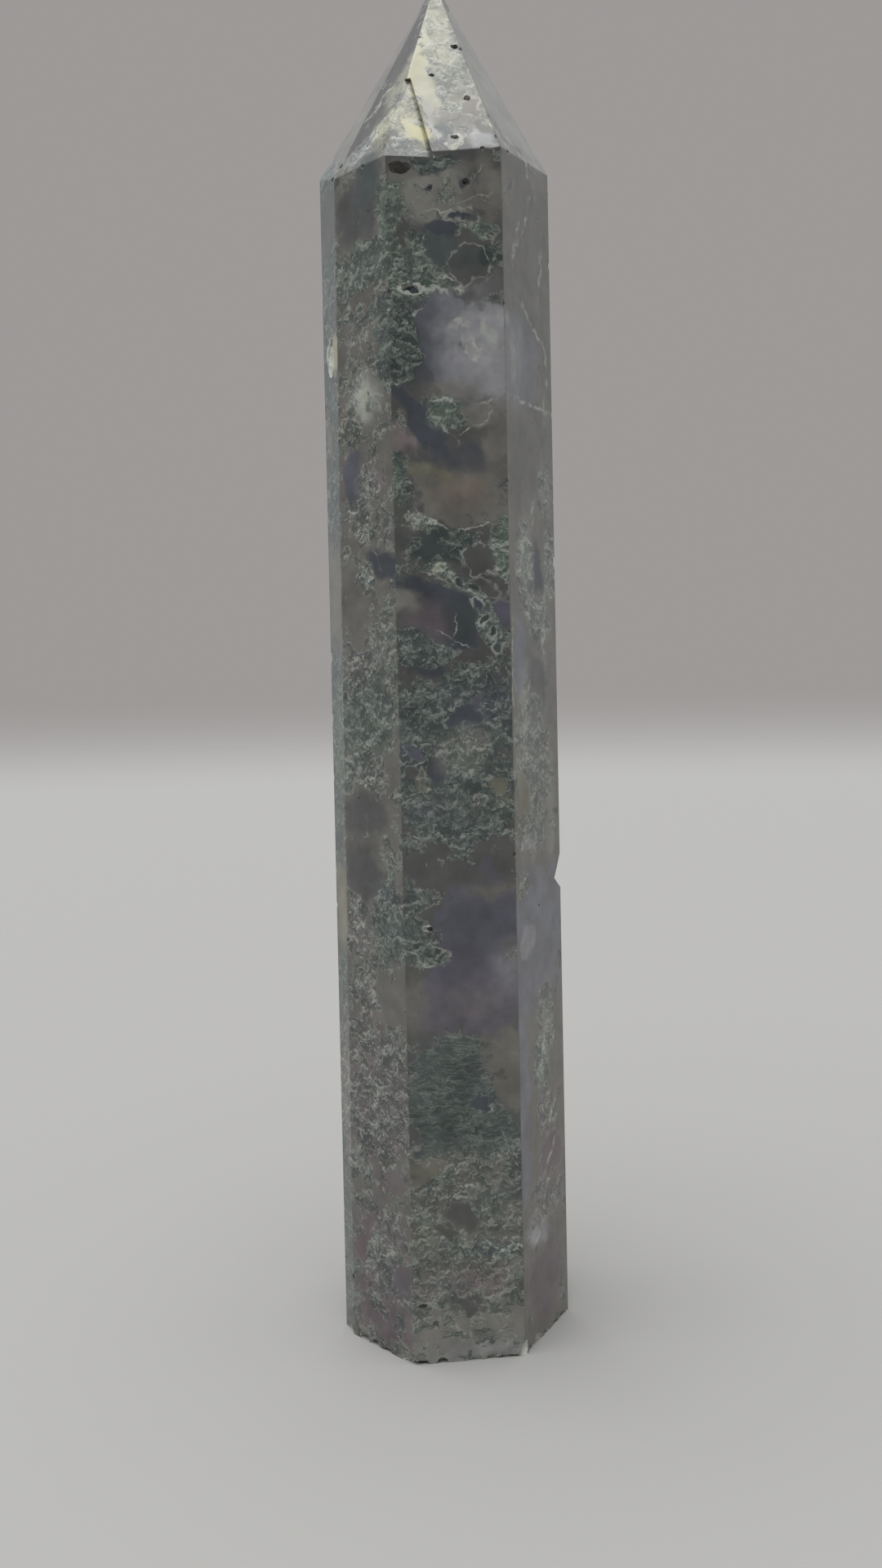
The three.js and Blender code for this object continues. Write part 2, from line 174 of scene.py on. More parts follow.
FRONT = (
    region("lower lace", (0, 13), (9, 12), "smoke", 0.9, 0.5),
    region("foot", (0, 1.6), (9, 4.2), "ash", 0.3, 0.8, streak=1.0, soft=0.5),
    region("foot warmth", (1, 3.5), (5.5, 2.4), "ash", 0.5, 0.6, streak=1.0, soft=0.6),
    region("white foot", (1.5, 0.6), (6.5, 1.6), "milk", 0.4, 0.9, streak=0.6, soft=0.8, strength=0.5),
    region("mauve lace", (-0.6, 9), (6.5, 2.2), "mauve", 0.7, 0.45, soft=0.5),
    window("foot window", (-0.1, 6.3), (1.9, 0.65), "charcoal", soft=0.35),
    region("speckle band", (2.6, 13.0), (3.6, 1.2), "teal", 1.0, 0.95),
    region("yellow-green lace", (-6, 14.6), (1.3, 2.0), "olive", 0.9, 0.6, soft=0.6, strength=0.7),
    window("smoky window", (-0.6, 17.2), (1.2, 2.3), "charcoal", tilt=40),
    window("smoky window foot", (-2.4, 15.6), (1.5, 0.6), "charcoal", tilt=-24, soft=0.4),
    region("low loops", (-1.2, 21), (2.2, 1.7), "smoke", 1.0, 0.8, tilt=10),
    region("olive haze", (-5.3, 22.3), (2.4, 1.3), "olive", 0.2, soft=0.8, strength=0.7),
    region("streaky moss", (-1.8, 31), (5.6, 6.8), "teal", 0.95, 0.3, streak=0.8),
    region("teal hollow", (-1.6, 34.3), (2.2, 2.2), "deep_moss", 0.7, 0.25, streak=0.6),
    window("warm corner", (4.8, 34.4), (3.2, 5.2), "smoke", tilt=22, soft=0.12),
    window("warm corner glow", (5.0, 33.6), (2.2, 3.6), "olive", soft=0.9, strength=0.3),
    region("moss below corner", (2.4, 27.2), (3.4, 3.2), "teal", 0.95, 0.3, streak=0.5),
    region("streaky shade", (-1.6, 30.4), (4.8, 5.4), "deep_moss", 0.9, 0.25, streak=0.8, soft=0.7,
           strength=0.4),
    region("blue spots", (1.9, 30), (1.3, 1.0), "night", 0.3, 0.8, soft=0.5),
    region("teal patch", (1.6, 27), (1.3, 1.2), "deep_moss", 0.5, 0.2),
    window("clear window below", (0.4, 43), (6.6, 5.4), "plum", soft=0.16),
    window("clear window", (1.7, 52), (5.2, 6.0), "plum", soft=0.1),
    haze("window warmth", (0.6, 41.0), (5.5, 2.8), "mauve", 0.45),
    window("window top", (-1.0, 56.0), (4.6, 1.6), "charcoal", soft=0.6),
    window("window olive band", (3.8, 54.7), (2.6, 0.7), "olive", soft=0.7, strength=0.6),
    haze("window night", (2.0, 50.6), (4.2, 2.8), "night", 0.7),
    window("window cloud", (5.0, 45.5), (2.0, 2.6), "milk", soft=0.9, strength=0.42),
    region("smoky left", (-6.1, 42), (1.6, 2.8), "smoke", 0.05, soft=0.5),
    region("green wedge", (-5.9, 50.5), (2.3, 5.6), "teal", 0.9, 0.45, soft=0.2, rim=0.2),
    region("green wedge tip", (-4.4, 47.3), (2.9, 1.3), "deep_moss", 0.75, 0.45, tilt=-5, soft=0.15,
           rim=0.45),
    region("green wedge shade", (-4.9, 49.6), (1.5, 2.8), "deep_moss", 0.5, 0.35, soft=0.4),
    # Painted shade: the small pit here is darkened inside its pale ring.
    window("ring pit", (-3.72, 50.05), (0.4, 0.4), "charcoal", rim=0.9),
    region("moss mass", (-0.6, 69), (8.5, 10.2), "teal", 1.0, 0.42, soft=0.08),
    region("blue haze in the moss", (2.2, 75), (3.2, 2.8), "plum", 0.6, soft=0.8, strength=0.8),
    window("night gap", (0.3, 74.1), (1.9, 1.2), "night", tilt=-20, soft=0.4),
    window("upper night gap", (-2.9, 79.4), (1.7, 1.5), "night", tilt=15, soft=0.4),
    region("left night lens", (-5.2, 69.7), (1.5, 1.2), "plum", 0.1, 0.8, tilt=-30, soft=0.5),
    region("middle night lens", (-2.2, 68), (1.1, 1.6), "night", 0.1, tilt=-20),
    region("light moss", (0.9, 70), (3.0, 2.4), "ash", 1.0, 0.6, soft=0.6),
    region("yellow-green spot", (-4.2, 66.4), (0.9, 1.4), "olive", 0.6, 0.7, soft=0.6, strength=0.8),
    region("dark green hollow", (1.6, 65), (2.6, 1.6), "deep_moss", 0.4, 0.3, tilt=-15, soft=0.4),
    region("pale lump", (2.3, 64.6), (0.9, 0.8), "ash", 1.0, 0.8, rim=0.4),
    region("olive glow", (4.6, 65.2), (0.9, 2.0), "olive", 0.1, soft=0.6),
    region("lower blue haze", (-2.4, 63.5), (3.0, 2.0), "plum", 0.7, 0.35, soft=0.7, strength=0.6),
    region("moss over the gap", (-3.4, 82), (4.2, 2.0), "teal", 0.9, 0.45),
    window("night diagonal", (-2.2, 85.4), (5.9, 2.7), "night", tilt=-36, soft=0.12),
    window("diagonal plum", (-3.6, 84.6), (2.6, 1.8), "maroon", tilt=-36, soft=0.7, strength=0.7),
    window("diagonal green end", (0.6, 84.2), (2.0, 2.0), "deep_moss", soft=0.7, strength=0.8),
    region("olive-grey patch", (-6.2, 86.6), (2.2, 1.5), "ash", 0.25, tilt=-20, soft=0.5),
    region("moss below the diagonal", (-3.6, 80.6), (3.0, 1.6), "teal", 0.95, 0.5, tilt=-10),
    region("dark moss above", (-1.0, 92.8), (4.6, 2.0), "deep_moss", 0.45, tilt=-12),
    window("grey window", (3.0, 91.0), (2.2, 1.9), "charcoal", soft=0.2, rim=0.55),
    window("second grey window", (3.0, 87.9), (2.1, 0.9), "charcoal", tilt=-15, rim=0.3),
    window("blue-grey patch", (4.9, 85.5), (1.7, 1.6), "plum", rim=0.2),
    region("loop chain top", (-1.8, 90.0), (1.7, 0.8), "moss", 1.0, 1.0, tilt=-35),
    region("loop chain", (0.6, 88.3), (2.0, 0.9), "teal", 1.0, 1.0, tilt=-28, soft=0.35),
    region("loop chain foot", (3.4, 84.0), (1.1, 3.4), "teal", 1.0, 1.0, tilt=24, soft=0.35),
    window("loop a", (-2.2, 90.3), (0.5, 0.35), "straw", rim=0.6, strength=0.5),
    window("loop b", (0.2, 88.5), (0.65, 0.5), "deep_moss", tilt=20, rim=0.6, soft=0.25),
    window("loop c", (1.9, 87.8), (0.45, 0.55), "deep_moss", rim=0.4, soft=0.25),
    window("loop d", (1.7, 86.2), (0.6, 0.5), "night", rim=0.7, soft=0.25),
    window("loop e", (2.8, 85.1), (0.5, 0.7), "deep_moss", tilt=-20, rim=0.65, soft=0.25),
    window("loop f", (4.0, 83.0), (0.55, 0.75), "deep_moss", rim=0.5, soft=0.25),
    window("loop g", (4.5, 81.3), (0.8, 0.6), "teal", tilt=15, rim=0.6, soft=0.25),
    region("right lace", (5.4, 92.5), (1.1, 4.2), "moss", 0.9, 0.75),
    window("smooth brown", (0.9, 98.6), (5.6, 4.0), "smoke", soft=0.12),
    haze("brown glow", (0.9, 98.4), (2.8, 1.4), "umber"),
    window("night band", (1.6, 101.8), (4.8, 1.6), "night", tilt=6, soft=0.7, strength=0.75),
    haze("olive streak", (-2.9, 100.5), (2.9, 0.6), "olive", tilt=-20),
    region("lower lump", (-4.4, 96.0), (1.2, 1.1), "ash", 1.0, 0.85),
    region("green chain", (-6.0, 100.4), (1.1, 3.0), "moss", 1.0, 0.5),
    region("mauve left", (-5.6, 104.8), (1.6, 2.4), "mauve", 0.5, 0.5, soft=0.5),
    window("olive smooth", (5.2, 104.6), (2.3, 3.6), "smoke"),
    window("night slope", (-2.8, 104.4), (3.8, 1.5), "night", tilt=-46, soft=0.25),
    region("loop window", (1.6, 104.6), (2.6, 1.3), "charcoal", 0.05, tilt=24, soft=0.4),
    region("brown triangle", (2.2, 106.5), (2.4, 1.1), "smoke", 0.25, 0.5),
    region("green lump", (-1.2, 106.8), (1.8, 2.0), "moss", 1.0, 0.5),
    region("night slope top", (-5.0, 108.2), (2.6, 1.0), "night", 0.1, 0.9, tilt=-38),
    window("lavender window", (2.2, 113.9), (6.3, 5.9), "lavender", soft=0.08),
    window("lavender top", (0.6, 117.4), (5.0, 2.6), "lavender", tilt=-4, soft=0.1),
    window("window dark side", (-3.4, 114.4), (2.4, 5.6), "night", tilt=6, soft=0.7, strength=0.75),
    haze("window foot", (0.4, 109.2), (4.0, 0.9), "smoke", tilt=-6),
    haze("window bright cloud", (4.2, 114.2), (4.4, 5.2), "milk", 0.95, tilt=-12),
    haze("white wisp", (4.1, 115.8), (0.35, 1.9), "lace", 0.7, tilt=10),
    haze("curled wisp", (2.2, 113.6), (1.3, 0.8), "lace", 0.5, tilt=-35, rim=0.7),
    haze("curled wisp above", (1.2, 116.2), (1.0, 0.6), "lace", 0.45, tilt=20, rim=0.6),
    haze("white fleck", (5.2, 117.6), (0.4, 1.1), "milk"),
    region("lower wisp", (4.4, 113.4), (0.5, 0.8), "milk", 0.2, 1.0, soft=0.8),
    region("green column", (-5.4, 114.6), (1.7, 4.8), "deep_moss", 1.0, 0.35),
    region("lacy moss", (-4.6, 122.4), (3.2, 3.6), "moss", 1.0, 0.5),
    region("bright green", (-4.6, 122.0), (1.3, 1.2), "moss", 1.0, 0.75),
    window("rimmed hollow", (-4.3, 120.3), (1.1, 0.55), "night", rim=1.0, soft=0.15),
    region("teal haze", (-1.2, 124.2), (2.2, 2.0), "teal", 0.35, 0.5, soft=0.4),
    window("dark window", (1.9, 122.8), (2.6, 2.4), "charcoal", rim=0.45, soft=0.2),
    haze("dark window shade", (1.6, 123.4), (1.8, 1.3), "deep_moss", 0.7, tilt=-20),
    region("dark green corner", (4.3, 123.8), (1.5, 1.2), "deep_moss", 0.3),
    region("green lace right", (3.6, 126.8), (2.2, 1.0), "moss", 0.9, 0.5),
    region("upper grey", (-1.0, 130.4), (5.0, 3.4), "ash", 0.4, 0.5, soft=0.35),
    region("upper brown", (4.2, 131.0), (2.6, 3.6), "smoke", 0.12, 0.5),
    window("dark lens", (1.6, 128.0), (1.8, 0.65), "night", rim=0.45, soft=0.15),
    window("lower dark lens", (-0.9, 126.8), (2.0, 0.8), "night", soft=0.25),
    region("left green", (-6.0, 129), (1.1, 3.4), "moss", 0.85),
    region("upper moss", (-1.6, 133.8), (2.8, 0.9), "deep_moss", 0.7, 0.35),
    window("hollow under the edge", (-5.4, 133.0), (1.4, 1.0), "smoke"),
    # Painted shade: the two small pits here are darkened with night blue.
    window("upper pit", (1.7, 131.7), (0.5, 0.5), "night"),
    window("second upper pit", (-2.2, 131.1), (0.45, 0.4), "night"),
    region("white tip", (0, 147), (9, 11.6), "cream", 0.8, 1.0, soft=0.02),
    region("tip grey middle", (1.5, 141.4), (3.0, 4.2), "olive", 0.75, 0.9, tilt=8, soft=0.5),
    region("grey translucent part", (1.0, 144.4), (2.9, 1.9), "olive", 0.9, 0.9, soft=0.5),
    region("crust left of the grey", (-2.1, 144.6), (1.1, 5.4), "cream", 0.05, 1.0, tilt=12, soft=0.5),
    region("tip speckles", (2.0, 148.8), (0.9, 0.9), "mauve", 0.9, 1.0, soft=0.5),
    window("dark looped streaks", (1.6, 141.6), (1.1, 0.6), "olive", tilt=-14, rim=0.5, soft=0.4),
    region("tip right edge", (3.8, 146.5), (1.2, 4.8), "umber", 0.7, 0.9, tilt=18, soft=0.6),
    window("grey oval", (3.3, 140.6), (1.1, 1.3), "umber", rim=0.5),
    region("tip grey slope", (1.8, 138.6), (3.0, 2.2), "smoke", 0.3, 0.9, soft=0.5, strength=0.8),
    region("pinkish patch", (3.9, 136.7), (1.8, 1.3), "milk", 0.4, 1.0, strength=0.7),
    region("teal shade", (-0.2, 137.7), (1.0, 1.0), "teal", 0.2, 1.0, soft=0.6),
    region("white upright", (-1.5, 138.9), (0.4, 2.2), "milk", 0.0, 1.0, soft=0.6),
    window("white ring", (0.5, 136.6), (0.9, 0.5), "ash", rim=1.0),
    region("straw patch", (-4.1, 138.4), (2.0, 3.0), "cream", 1.0, 1.0),
    region("yellow stain", (-3.4, 137.6), (1.1, 1.4), "straw", 0.1, 1.0, soft=0.6),
    region("olive below", (-4.6, 135.8), (2.6, 0.9), "olive", 0.9, 0.8, soft=0.5),
    region("tip hollow", (-0.4, 146.7), (0.5, 0.28), "charcoal", 0.3, soft=0.5),
    region("second tip hollow", (-1.1, 145.0), (0.35, 0.3), "charcoal", 0.3, soft=0.5),
    region("tip speck", (1.6, 149.0), (0.3, 0.2), "charcoal", 0.3, tilt=30, soft=0.6),
    region("second tip speck", (2.2, 148.3), (0.4, 0.22), "charcoal", 0.3, tilt=-20, soft=0.6),
    region("third tip speck", (3.0, 146.4), (0.22, 0.4), "charcoal", 0.3, soft=0.6),
    region("tip dark streak", (1.4, 142.3), (1.2, 0.16), "charcoal", 0.3, tilt=-16, soft=0.7),
    region("tip streak branch", (2.3, 141.0), (0.14, 1.3), "charcoal", 0.3, tilt=12, soft=0.7),
    region("tip streak foot", (1.6, 139.2), (1.0, 0.13), "charcoal", 0.3, tilt=40, soft=0.7),
    region("tip shade above", (0.9, 144.0), (1.3, 0.2), "teal", 0.3, tilt=24, soft=0.8),
    region("yellow side", (-2.6, 146.6), (0.7, 5.0), "straw", 0.5, 1.0, tilt=-16, soft=0.8, strength=0.4),
)

FRONT_VEINS = (
    Vein("window border", (-0.3, 107.9), 4.2, 0.16, -8, 0.7),
    Vein("window border right", (4.7, 108.3), 1.4, 0.16, 38, 0.8),
    Vein("dark window foot", (0.4, 120.6), 1.8, 0.18, -24, 0.9),
    Vein("dark window foot right", (3.6, 120.9), 1.5, 0.16, 40, 0.8),
    Vein("loop below the window", (-0.6, 104.6), 1.7, 0.14, -38, 0.8),
    Vein("loop rising right", (2.3, 105.6), 2.6, 0.14, 32, 0.8),
    Vein("upper slope line", (3.2, 130.2), 2.4, 0.12, 24, 0.5),
    Vein("left wisp", (-3.6, 117.9), 1.5, 0.1, 30, 0.5),
    Vein("brown border", (-2.6, 95.3), 2.6, 0.15, -22, 0.85),
    Vein("brown border right", (2.1, 94.8), 2.6, 0.13, 9, 0.7),
    Vein("crossed line", (-0.6, 82.6), 3.3, 0.1, -24, 0.8),
    Vein("crossing line", (-0.9, 83.4), 1.4, 0.09, 86, 0.7),
    Vein("diagonal upper edge", (-2.6, 89.4), 3.4, 0.12, -36, 0.6),
    Vein("wedge lower edge", (-4.0, 46.0), 2.2, 0.14, 4, 0.8),
    Vein("top border", (0.9, 128.9), 3.8, 0.14, 2, 0.6),
    Vein("red-brown streak", (3.0, 132.6), 1.4, 0.12, 62, 0.6),
    Vein("pale dash", (4.9, 129.7), 1.0, 0.1, -20, 0.6),
    Vein("below rimmed hollow", (-1.6, 119.9), 2.2, 0.16, -14, 0.7),
    Vein("lens streak", (-4.8, 68.2), 1.6, 0.12, 24, 0.7),
    Vein("corner arc", (1.4, 36.9), 3.0, 0.12, -4, 0.2),
    Vein("corner arc right", (4.6, 35.9), 1.6, 0.12, -24, 0.2),
)

RIGHT = (
    ground("right ground", "smoke", 0.12, 0.6),
    region("right tip", (0, 146), (9, 10.5), "ash", 0.1, 0.7, soft=0.02),
    window("brown smooth", (-0.9, 124.6), (4.6, 4.6), "smoke"),
    window("right lavender", (-2.2, 113.6), (5.4, 5.6), "lavender", tilt=-14, soft=0.15),
    haze("right cloud", (-5.2, 113.8), (4.0, 4.8), "milk", 0.6),
    haze("right wisp", (-4.2, 113.4), (0.9, 2.0), "lace", 0.6, tilt=6),
    haze("right fleck", (-5.4, 117.4), (0.7, 0.9), "lace", 0.5),
    window("right olive smooth", (-1.8, 104), (4.6, 4.2), "smoke", soft=0.4),
    region("upright streaks", (4.4, 100), (2.2, 3.6), "ash", 0.7, 0.7),
    region("lace column", (-2.1, 90.5), (2.6, 4.8), "ash", 1.0, 1.0),
    region("lace column core", (-2.0, 91), (1.6, 4.2), "lace", 1.0, 1.0, soft=0.7, strength=0.75),
    window("dark gap by the lace", (1.6, 89.8), (1.6, 3.4), "night", tilt=10),
    region("lace foot", (1.6, 85.0), (3.4, 2.6), "ash", 1.0, 1.0, tilt=-20),
    region("outer lace", (5.2, 91), (1.6, 4.0), "ash", 1.0, 1.0),
    window("lavender upright", (-3.8, 80.6), (1.9, 4.6), "lavender"),
    window("dark right lens", (0.8, 77), (2.6, 3.8), "charcoal", tilt=12, soft=0.2),
    region("pale lace", (-1.0, 67), (5.2, 9.6), "ash", 1.0, 0.75),
    region("pale lace core", (-2.6, 71), (1.7, 6.5), "lace", 1.0, 1.0, tilt=6, soft=0.8, strength=0.45),
    region("outer pale lace core", (4.2, 62), (1.2, 6), "lace", 1.0, 1.0, soft=0.8, strength=0.35),
    window("yellow-green smooth", (-3.6, 64.6), (2.0, 2.5), "olive", soft=0.5),
    region("white spots", (-2.2, 59.6), (3.8, 1.4), "milk", 1.0, 1.0, strength=0.7),
    window("pale window", (0, 47.4), (9, 9.8), "lavender", soft=0.12),
    window("bright block", (-3.2, 47.6), (2.1, 2.0), "milk", tilt=20, soft=0.2, strength=0.55),
    region("green-white spots", (-4.2, 54.6), (2.0, 1.5), "ash", 0.9, 1.0),
    region("lower lace column", (2.2, 38), (2.6, 4.2), "ash", 1.0, 0.95),
    region("green-white lace", (0.2, 32.4), (2.6, 3.6), "moss", 1.0, 1.0),
    region("lower lace core", (2.0, 37), (1.4, 4), "lace", 1.0, 1.0, soft=0.8, strength=0.4),
    region("green-white core", (0.2, 32.4), (1.4, 3.0), "lace", 1.0, 1.0, soft=0.8, strength=0.4),
    window("pale strip", (-4.9, 28), (1.5, 12), "lavender", soft=0.2),
    region("rosy lace", (1.6, 26.6), (2.8, 3.0), "mauve", 0.8, 0.8),
    region("purple hollow", (2.6, 21.4), (3.2, 3.0), "maroon", 0.1, rim=0.3),
    region("mauve lace right", (1.0, 16.4), (4.6, 3.0), "mauve", 0.8, 0.7, soft=0.5),
    region("pale fan", (-2.0, 13.2), (3.2, 1.7), "milk", 0.3, 1.0, tilt=-20, soft=0.5, strength=0.85),
    # Painted shade: the upper part of the right face is darkened as a whole, for how the light falls on
    # it.
    region("right painted shade", (0, 117), (12, 20), "charcoal", 0.2, 0.6, soft=0.1, strength=0.26),
    region("maroon foot", (0.2, 6.6), (4.8, 4.6), "maroon", 0.1),
)

RIGHT_VEINS = (
    Vein("brown vein", (1.9, 117.9), 5.2, 0.3, -34, 0.7),
    Vein("level vein", (1.4, 109), 5.6, 0.25, -6, 0.7),
    Vein("upright line", (3.8, 124), 3.2, 0.35, 82, 0.6),
    Vein("second upright line", (-3.0, 126.4), 3.6, 0.3, 76, 0.6),
    Vein("crossing slope", (0.2, 129.8), 3.4, 0.3, 58, 0.6),
    Vein("edge line", (5.2, 112), 5.0, 0.35, 84, 0.5),
    Vein("strand beside the lace", (0.4, 96.4), 2.6, 0.35, 70, 0.7),
    Vein("long strand", (3.6, 84), 6.0, 0.35, 86, 0.5),
    Vein("upright border", (-5.7, 78), 9.0, 0.3, 90, 0.5),
    Vein("lens border", (-1.6, 76), 4.0, 0.3, 78, 0.6),
    Vein("low strand", (0.6, 34), 4.6, 0.4, 68, 0.7),
    Vein("low strand foot", (2.8, 26.4), 3.0, 0.4, 54, 0.7),
    Vein("foot streak", (-1.8, 12.4), 2.4, 0.4, 38, 0.6),
    Vein("tip streak", (1.0, 134.8), 3.0, 0.3, -40, 0.6),
    Vein("tip streak above", (-1.5, 137.5), 2.4, 0.25, -52, 0.5),
    Vein("purple streak", (2.4, 21.2), 2.8, 0.4, 52, 0.7),
)

LEFT = (
    ground("left ground", "smoke", 0.45, 0.55),
    region("left low lace", (0, 30.5), (6, 8.4), "maroon", 0.85, 0.65),
    region("left low glow", (-1.6, 32), (2.6, 5), "mauve", 0.7, 0.8, tilt=20, soft=0.6),
    region("left foot", (0, 8), (6, 10), "maroon", 0.4),
    region("left foot lace", (0.6, 11), (2.4, 5.4), "mauve", 0.95, 0.7, tilt=-15, soft=0.6),
    region("violet spot", (3.4, 9), (2.0, 1.8), "plum", 0.2, soft=0.8, strength=0.6),
    window("maroon bar", (2, 20.6), (3.2, 1.2), "maroon", soft=0.5, strength=0.7),
    region("left green wedge", (2.8, 50.4), (2.8, 5.8), "teal", 0.9, 0.5),
    region("lavender lace", (-3.0, 49.5), (1.8, 3.6), "mauve", 1.0, 0.95),
    region("lavender lace below", (-1.0, 42), (2.2, 3.4), "mauve", 1.0, 0.95),
    window("smoky smooth", (3.4, 42), (2.8, 3.0), "smoke"),
    window("purple-grey smooth", (-1.2, 56.4), (3.4, 3.4), "charcoal"),
    region("grey smooth", (-0.6, 62.8), (3.8, 2.6), "charcoal", 0.05),
    region("pale lace left", (-0.8, 67.8), (3.4, 2.2), "smoke", 1.0, 0.9),
    region("green moss left", (0.6, 73.4), (4.6, 4.2), "moss", 0.95, 0.55, soft=0.4),
    region("brown lace", (-1.6, 79.6), (3.2, 2.2), "mauve", 1.0, 0.8),
    region("grey streaks", (3.8, 82), (1.9, 4.2), "ash", 0.9, 0.55, soft=0.5),
    window("brown smooth left", (-2.2, 86.4), (2.6, 4.4), "smoke"),
    region("white spots left", (0.6, 89.2), (1.5, 1.9), "ash", 1.0, 1.0),
    window("diagonal start", (3.4, 90.8), (2.8, 1.5), "night", tilt=-20),
    region("pale lace slope", (-0.3, 95.4), (1.8, 3.0), "ash", 1.0, 0.9, tilt=25),
    region("pale lace above", (1.9, 100.6), (2.0, 2.2), "mauve", 0.9, 0.8),
    window("dark blotch", (-1.4, 101), (1.6, 3.0), "plum", tilt=10),
    region("warm streaks", (-1.6, 106.4), (2.4, 2.2), "umber", 0.8, 0.8),
    region("white patch", (0.9, 109.6), (2.2, 2.6), "lace", 0.6, 1.0, tilt=10, soft=0.7),
    region("brown blotches", (-0.4, 118.4), (4.4, 6.0), "smoke", 0.5, 0.6),
    region("green column side", (4.8, 115), (1.5, 4.8), "deep_moss", 0.95, 0.35),
    region("lacy moss left", (2.0, 123.8), (5.0, 2.6), "moss", 0.95, 0.5),
    window("purple-grey high", (0.4, 129.6), (3.8, 3.4), "charcoal"),
    window("teal high", (2.4, 132.6), (1.8, 2.8), "teal", soft=0.5),
    region("green edge band", (5.0, 128.6), (1.2, 3.8), "moss", 0.8, 0.45),
    region("left tip", (0, 146), (9, 9.6), "charcoal", 0.2, 0.8, soft=0.02),
    region("white lace", (0.9, 136.9), (3.0, 1.5), "milk", 1.0, 1.0, tilt=28),
    region("cream patch", (3.8, 138.2), (2.6, 3.0), "cream", 0.9, 1.0),
    region("cream foot", (4.4, 135.8), (2.0, 0.8), "olive", 0.5, 0.8, soft=0.5),
    # Painted shade: the whole left face is darkened a little, for how the light falls on it.
    region("left painted shade", (0, 66), (12, 68), "night", 0.75, 0.6, soft=0.02, strength=0.16),
    region("white patch core", (0.9, 109.7), (1.5, 2.0), "lace", 0.4, 1.0, tilt=10, soft=0.8,
           strength=0.8),
    region("tip pale side", (2.6, 146.4), (1.2, 5.0), "cream", 0.5, 1.0, tilt=-12, soft=0.7,
           strength=0.7),
)

LEFT_VEINS = (
    Vein("tip diagonal", (-0.2, 143), 3.6, 0.3, 46, 0.8),
    Vein("left slope line", (1.6, 93), 3.0, 0.2, -58, 0.7),
)

NARROW = (
    ground("ground", "teal", 0.6, 0.5),
    region("tip", (0, 146), (8, 10), "smoke", 0.2, 0.7, soft=0.02),
    window("smooth", (-1, 130), (4, 3.4), "charcoal"),
    region("white chip", (0.0, 115.3), (2.0, 2.6), "cream", 0.3, 1.0),
    region("straw line", (-2.4, 106.4), (1.2, 3.4), "olive", 0.2, 0.8, soft=0.5, strength=0.8),
    region("brown", (-1, 88), (4, 7), "smoke", 0.1),
    region("green", (0, 72), (4, 6), "moss", 0.8, 0.5),
    region("olive", (-0.6, 52), (3, 5), "olive", 0.1, soft=0.4),
    region("lace", (0, 30), (4, 9), "mauve", 0.8, 0.7),
)

# The faces that the photograph doesn't show carry on in the same manner.
REAR_RIGHT = (
    ground("ground", "charcoal", 0.5, 0.5),
    region("foot", (0, 6), (8, 9), "mauve", 0.5, 0.6, soft=0.4),
    window("window", (-2, 26), (7.5, 4.6), "plum", tilt=30, soft=0.2, rim=0.25),
    window("window head", (2, 32), (2.8, 4.2), "charcoal", tilt=-24, soft=0.5),
    region("moss", (0.5, 45), (6.5, 8), "teal", 1.0, 0.5),
    window("haze", (2.5, 60), (6.4, 4), "lavender", tilt=-35, soft=0.2, rim=0.2),
    window("haze side", (-2.4, 65), (2.4, 4.4), "smoke", tilt=18, soft=0.5),
    window("gap", (-2, 76), (3, 3.2), "night", tilt=-30),
    region("lace", (2, 82), (4, 5), "moss", 1.0, 0.8),
    window("brown", (-2, 98), (7, 4.4), "smoke", tilt=25, soft=0.2, rim=0.25),
    window("brown head", (2, 104), (3.2, 4), "umber", tilt=-30, soft=0.6),
    region("column", (3.4, 112), (2, 8), "deep_moss", 1.0, 0.5),
    region("top", (-1, 124), (4.4, 6), "lavender", 0.1, soft=0.5),
    region("tip", (0, 147), (9, 9), "ash", 0.5, 0.9, soft=0.05),
)

REAR = (
    ground("ground", "teal", 0.7, 0.45),
    region("foot", (0, 5), (8, 8), "ash", 0.6, 0.5, streak=0.8, soft=0.4),
    window("window", (1.5, 20.6), (7, 3.8), "smoke", tilt=-30, soft=0.2, rim=0.25),
    window("window head", (-2.4, 26), (2.8, 3.8), "charcoal", tilt=22, soft=0.5),
    region("moss", (-1, 42), (6, 10), "moss", 1.0, 0.5),
    window("night", (1.4, 57), (6.6, 2.3), "night", tilt=34, soft=0.2),
    region("lace", (-3, 64), (3, 7), "ash", 1.0, 0.85),
    window("lavender", (1, 82.6), (7.4, 4.6), "lavender", tilt=25, soft=0.15, rim=0.25),
    window("lavender head", (-2.6, 88.4), (3.2, 4.6), "lavender", tilt=-20, soft=0.2),
    window("cloud", (1.6, 84), (3.4, 3), "milk", tilt=25, soft=0.9, strength=0.5),
    region("green", (-1, 103), (6, 6), "moss", 1.0, 0.5, soft=0.4),
    window("plum", (0, 117.6), (7.2, 3.2), "plum", tilt=-24, soft=0.2, rim=0.25),
    window("plum side", (3.4, 122), (2.2, 4.6), "night", tilt=14, soft=0.5),
    region("tip", (0, 147), (9, 10.4), "cream", 0.6, 1.0, soft=0.04),
)

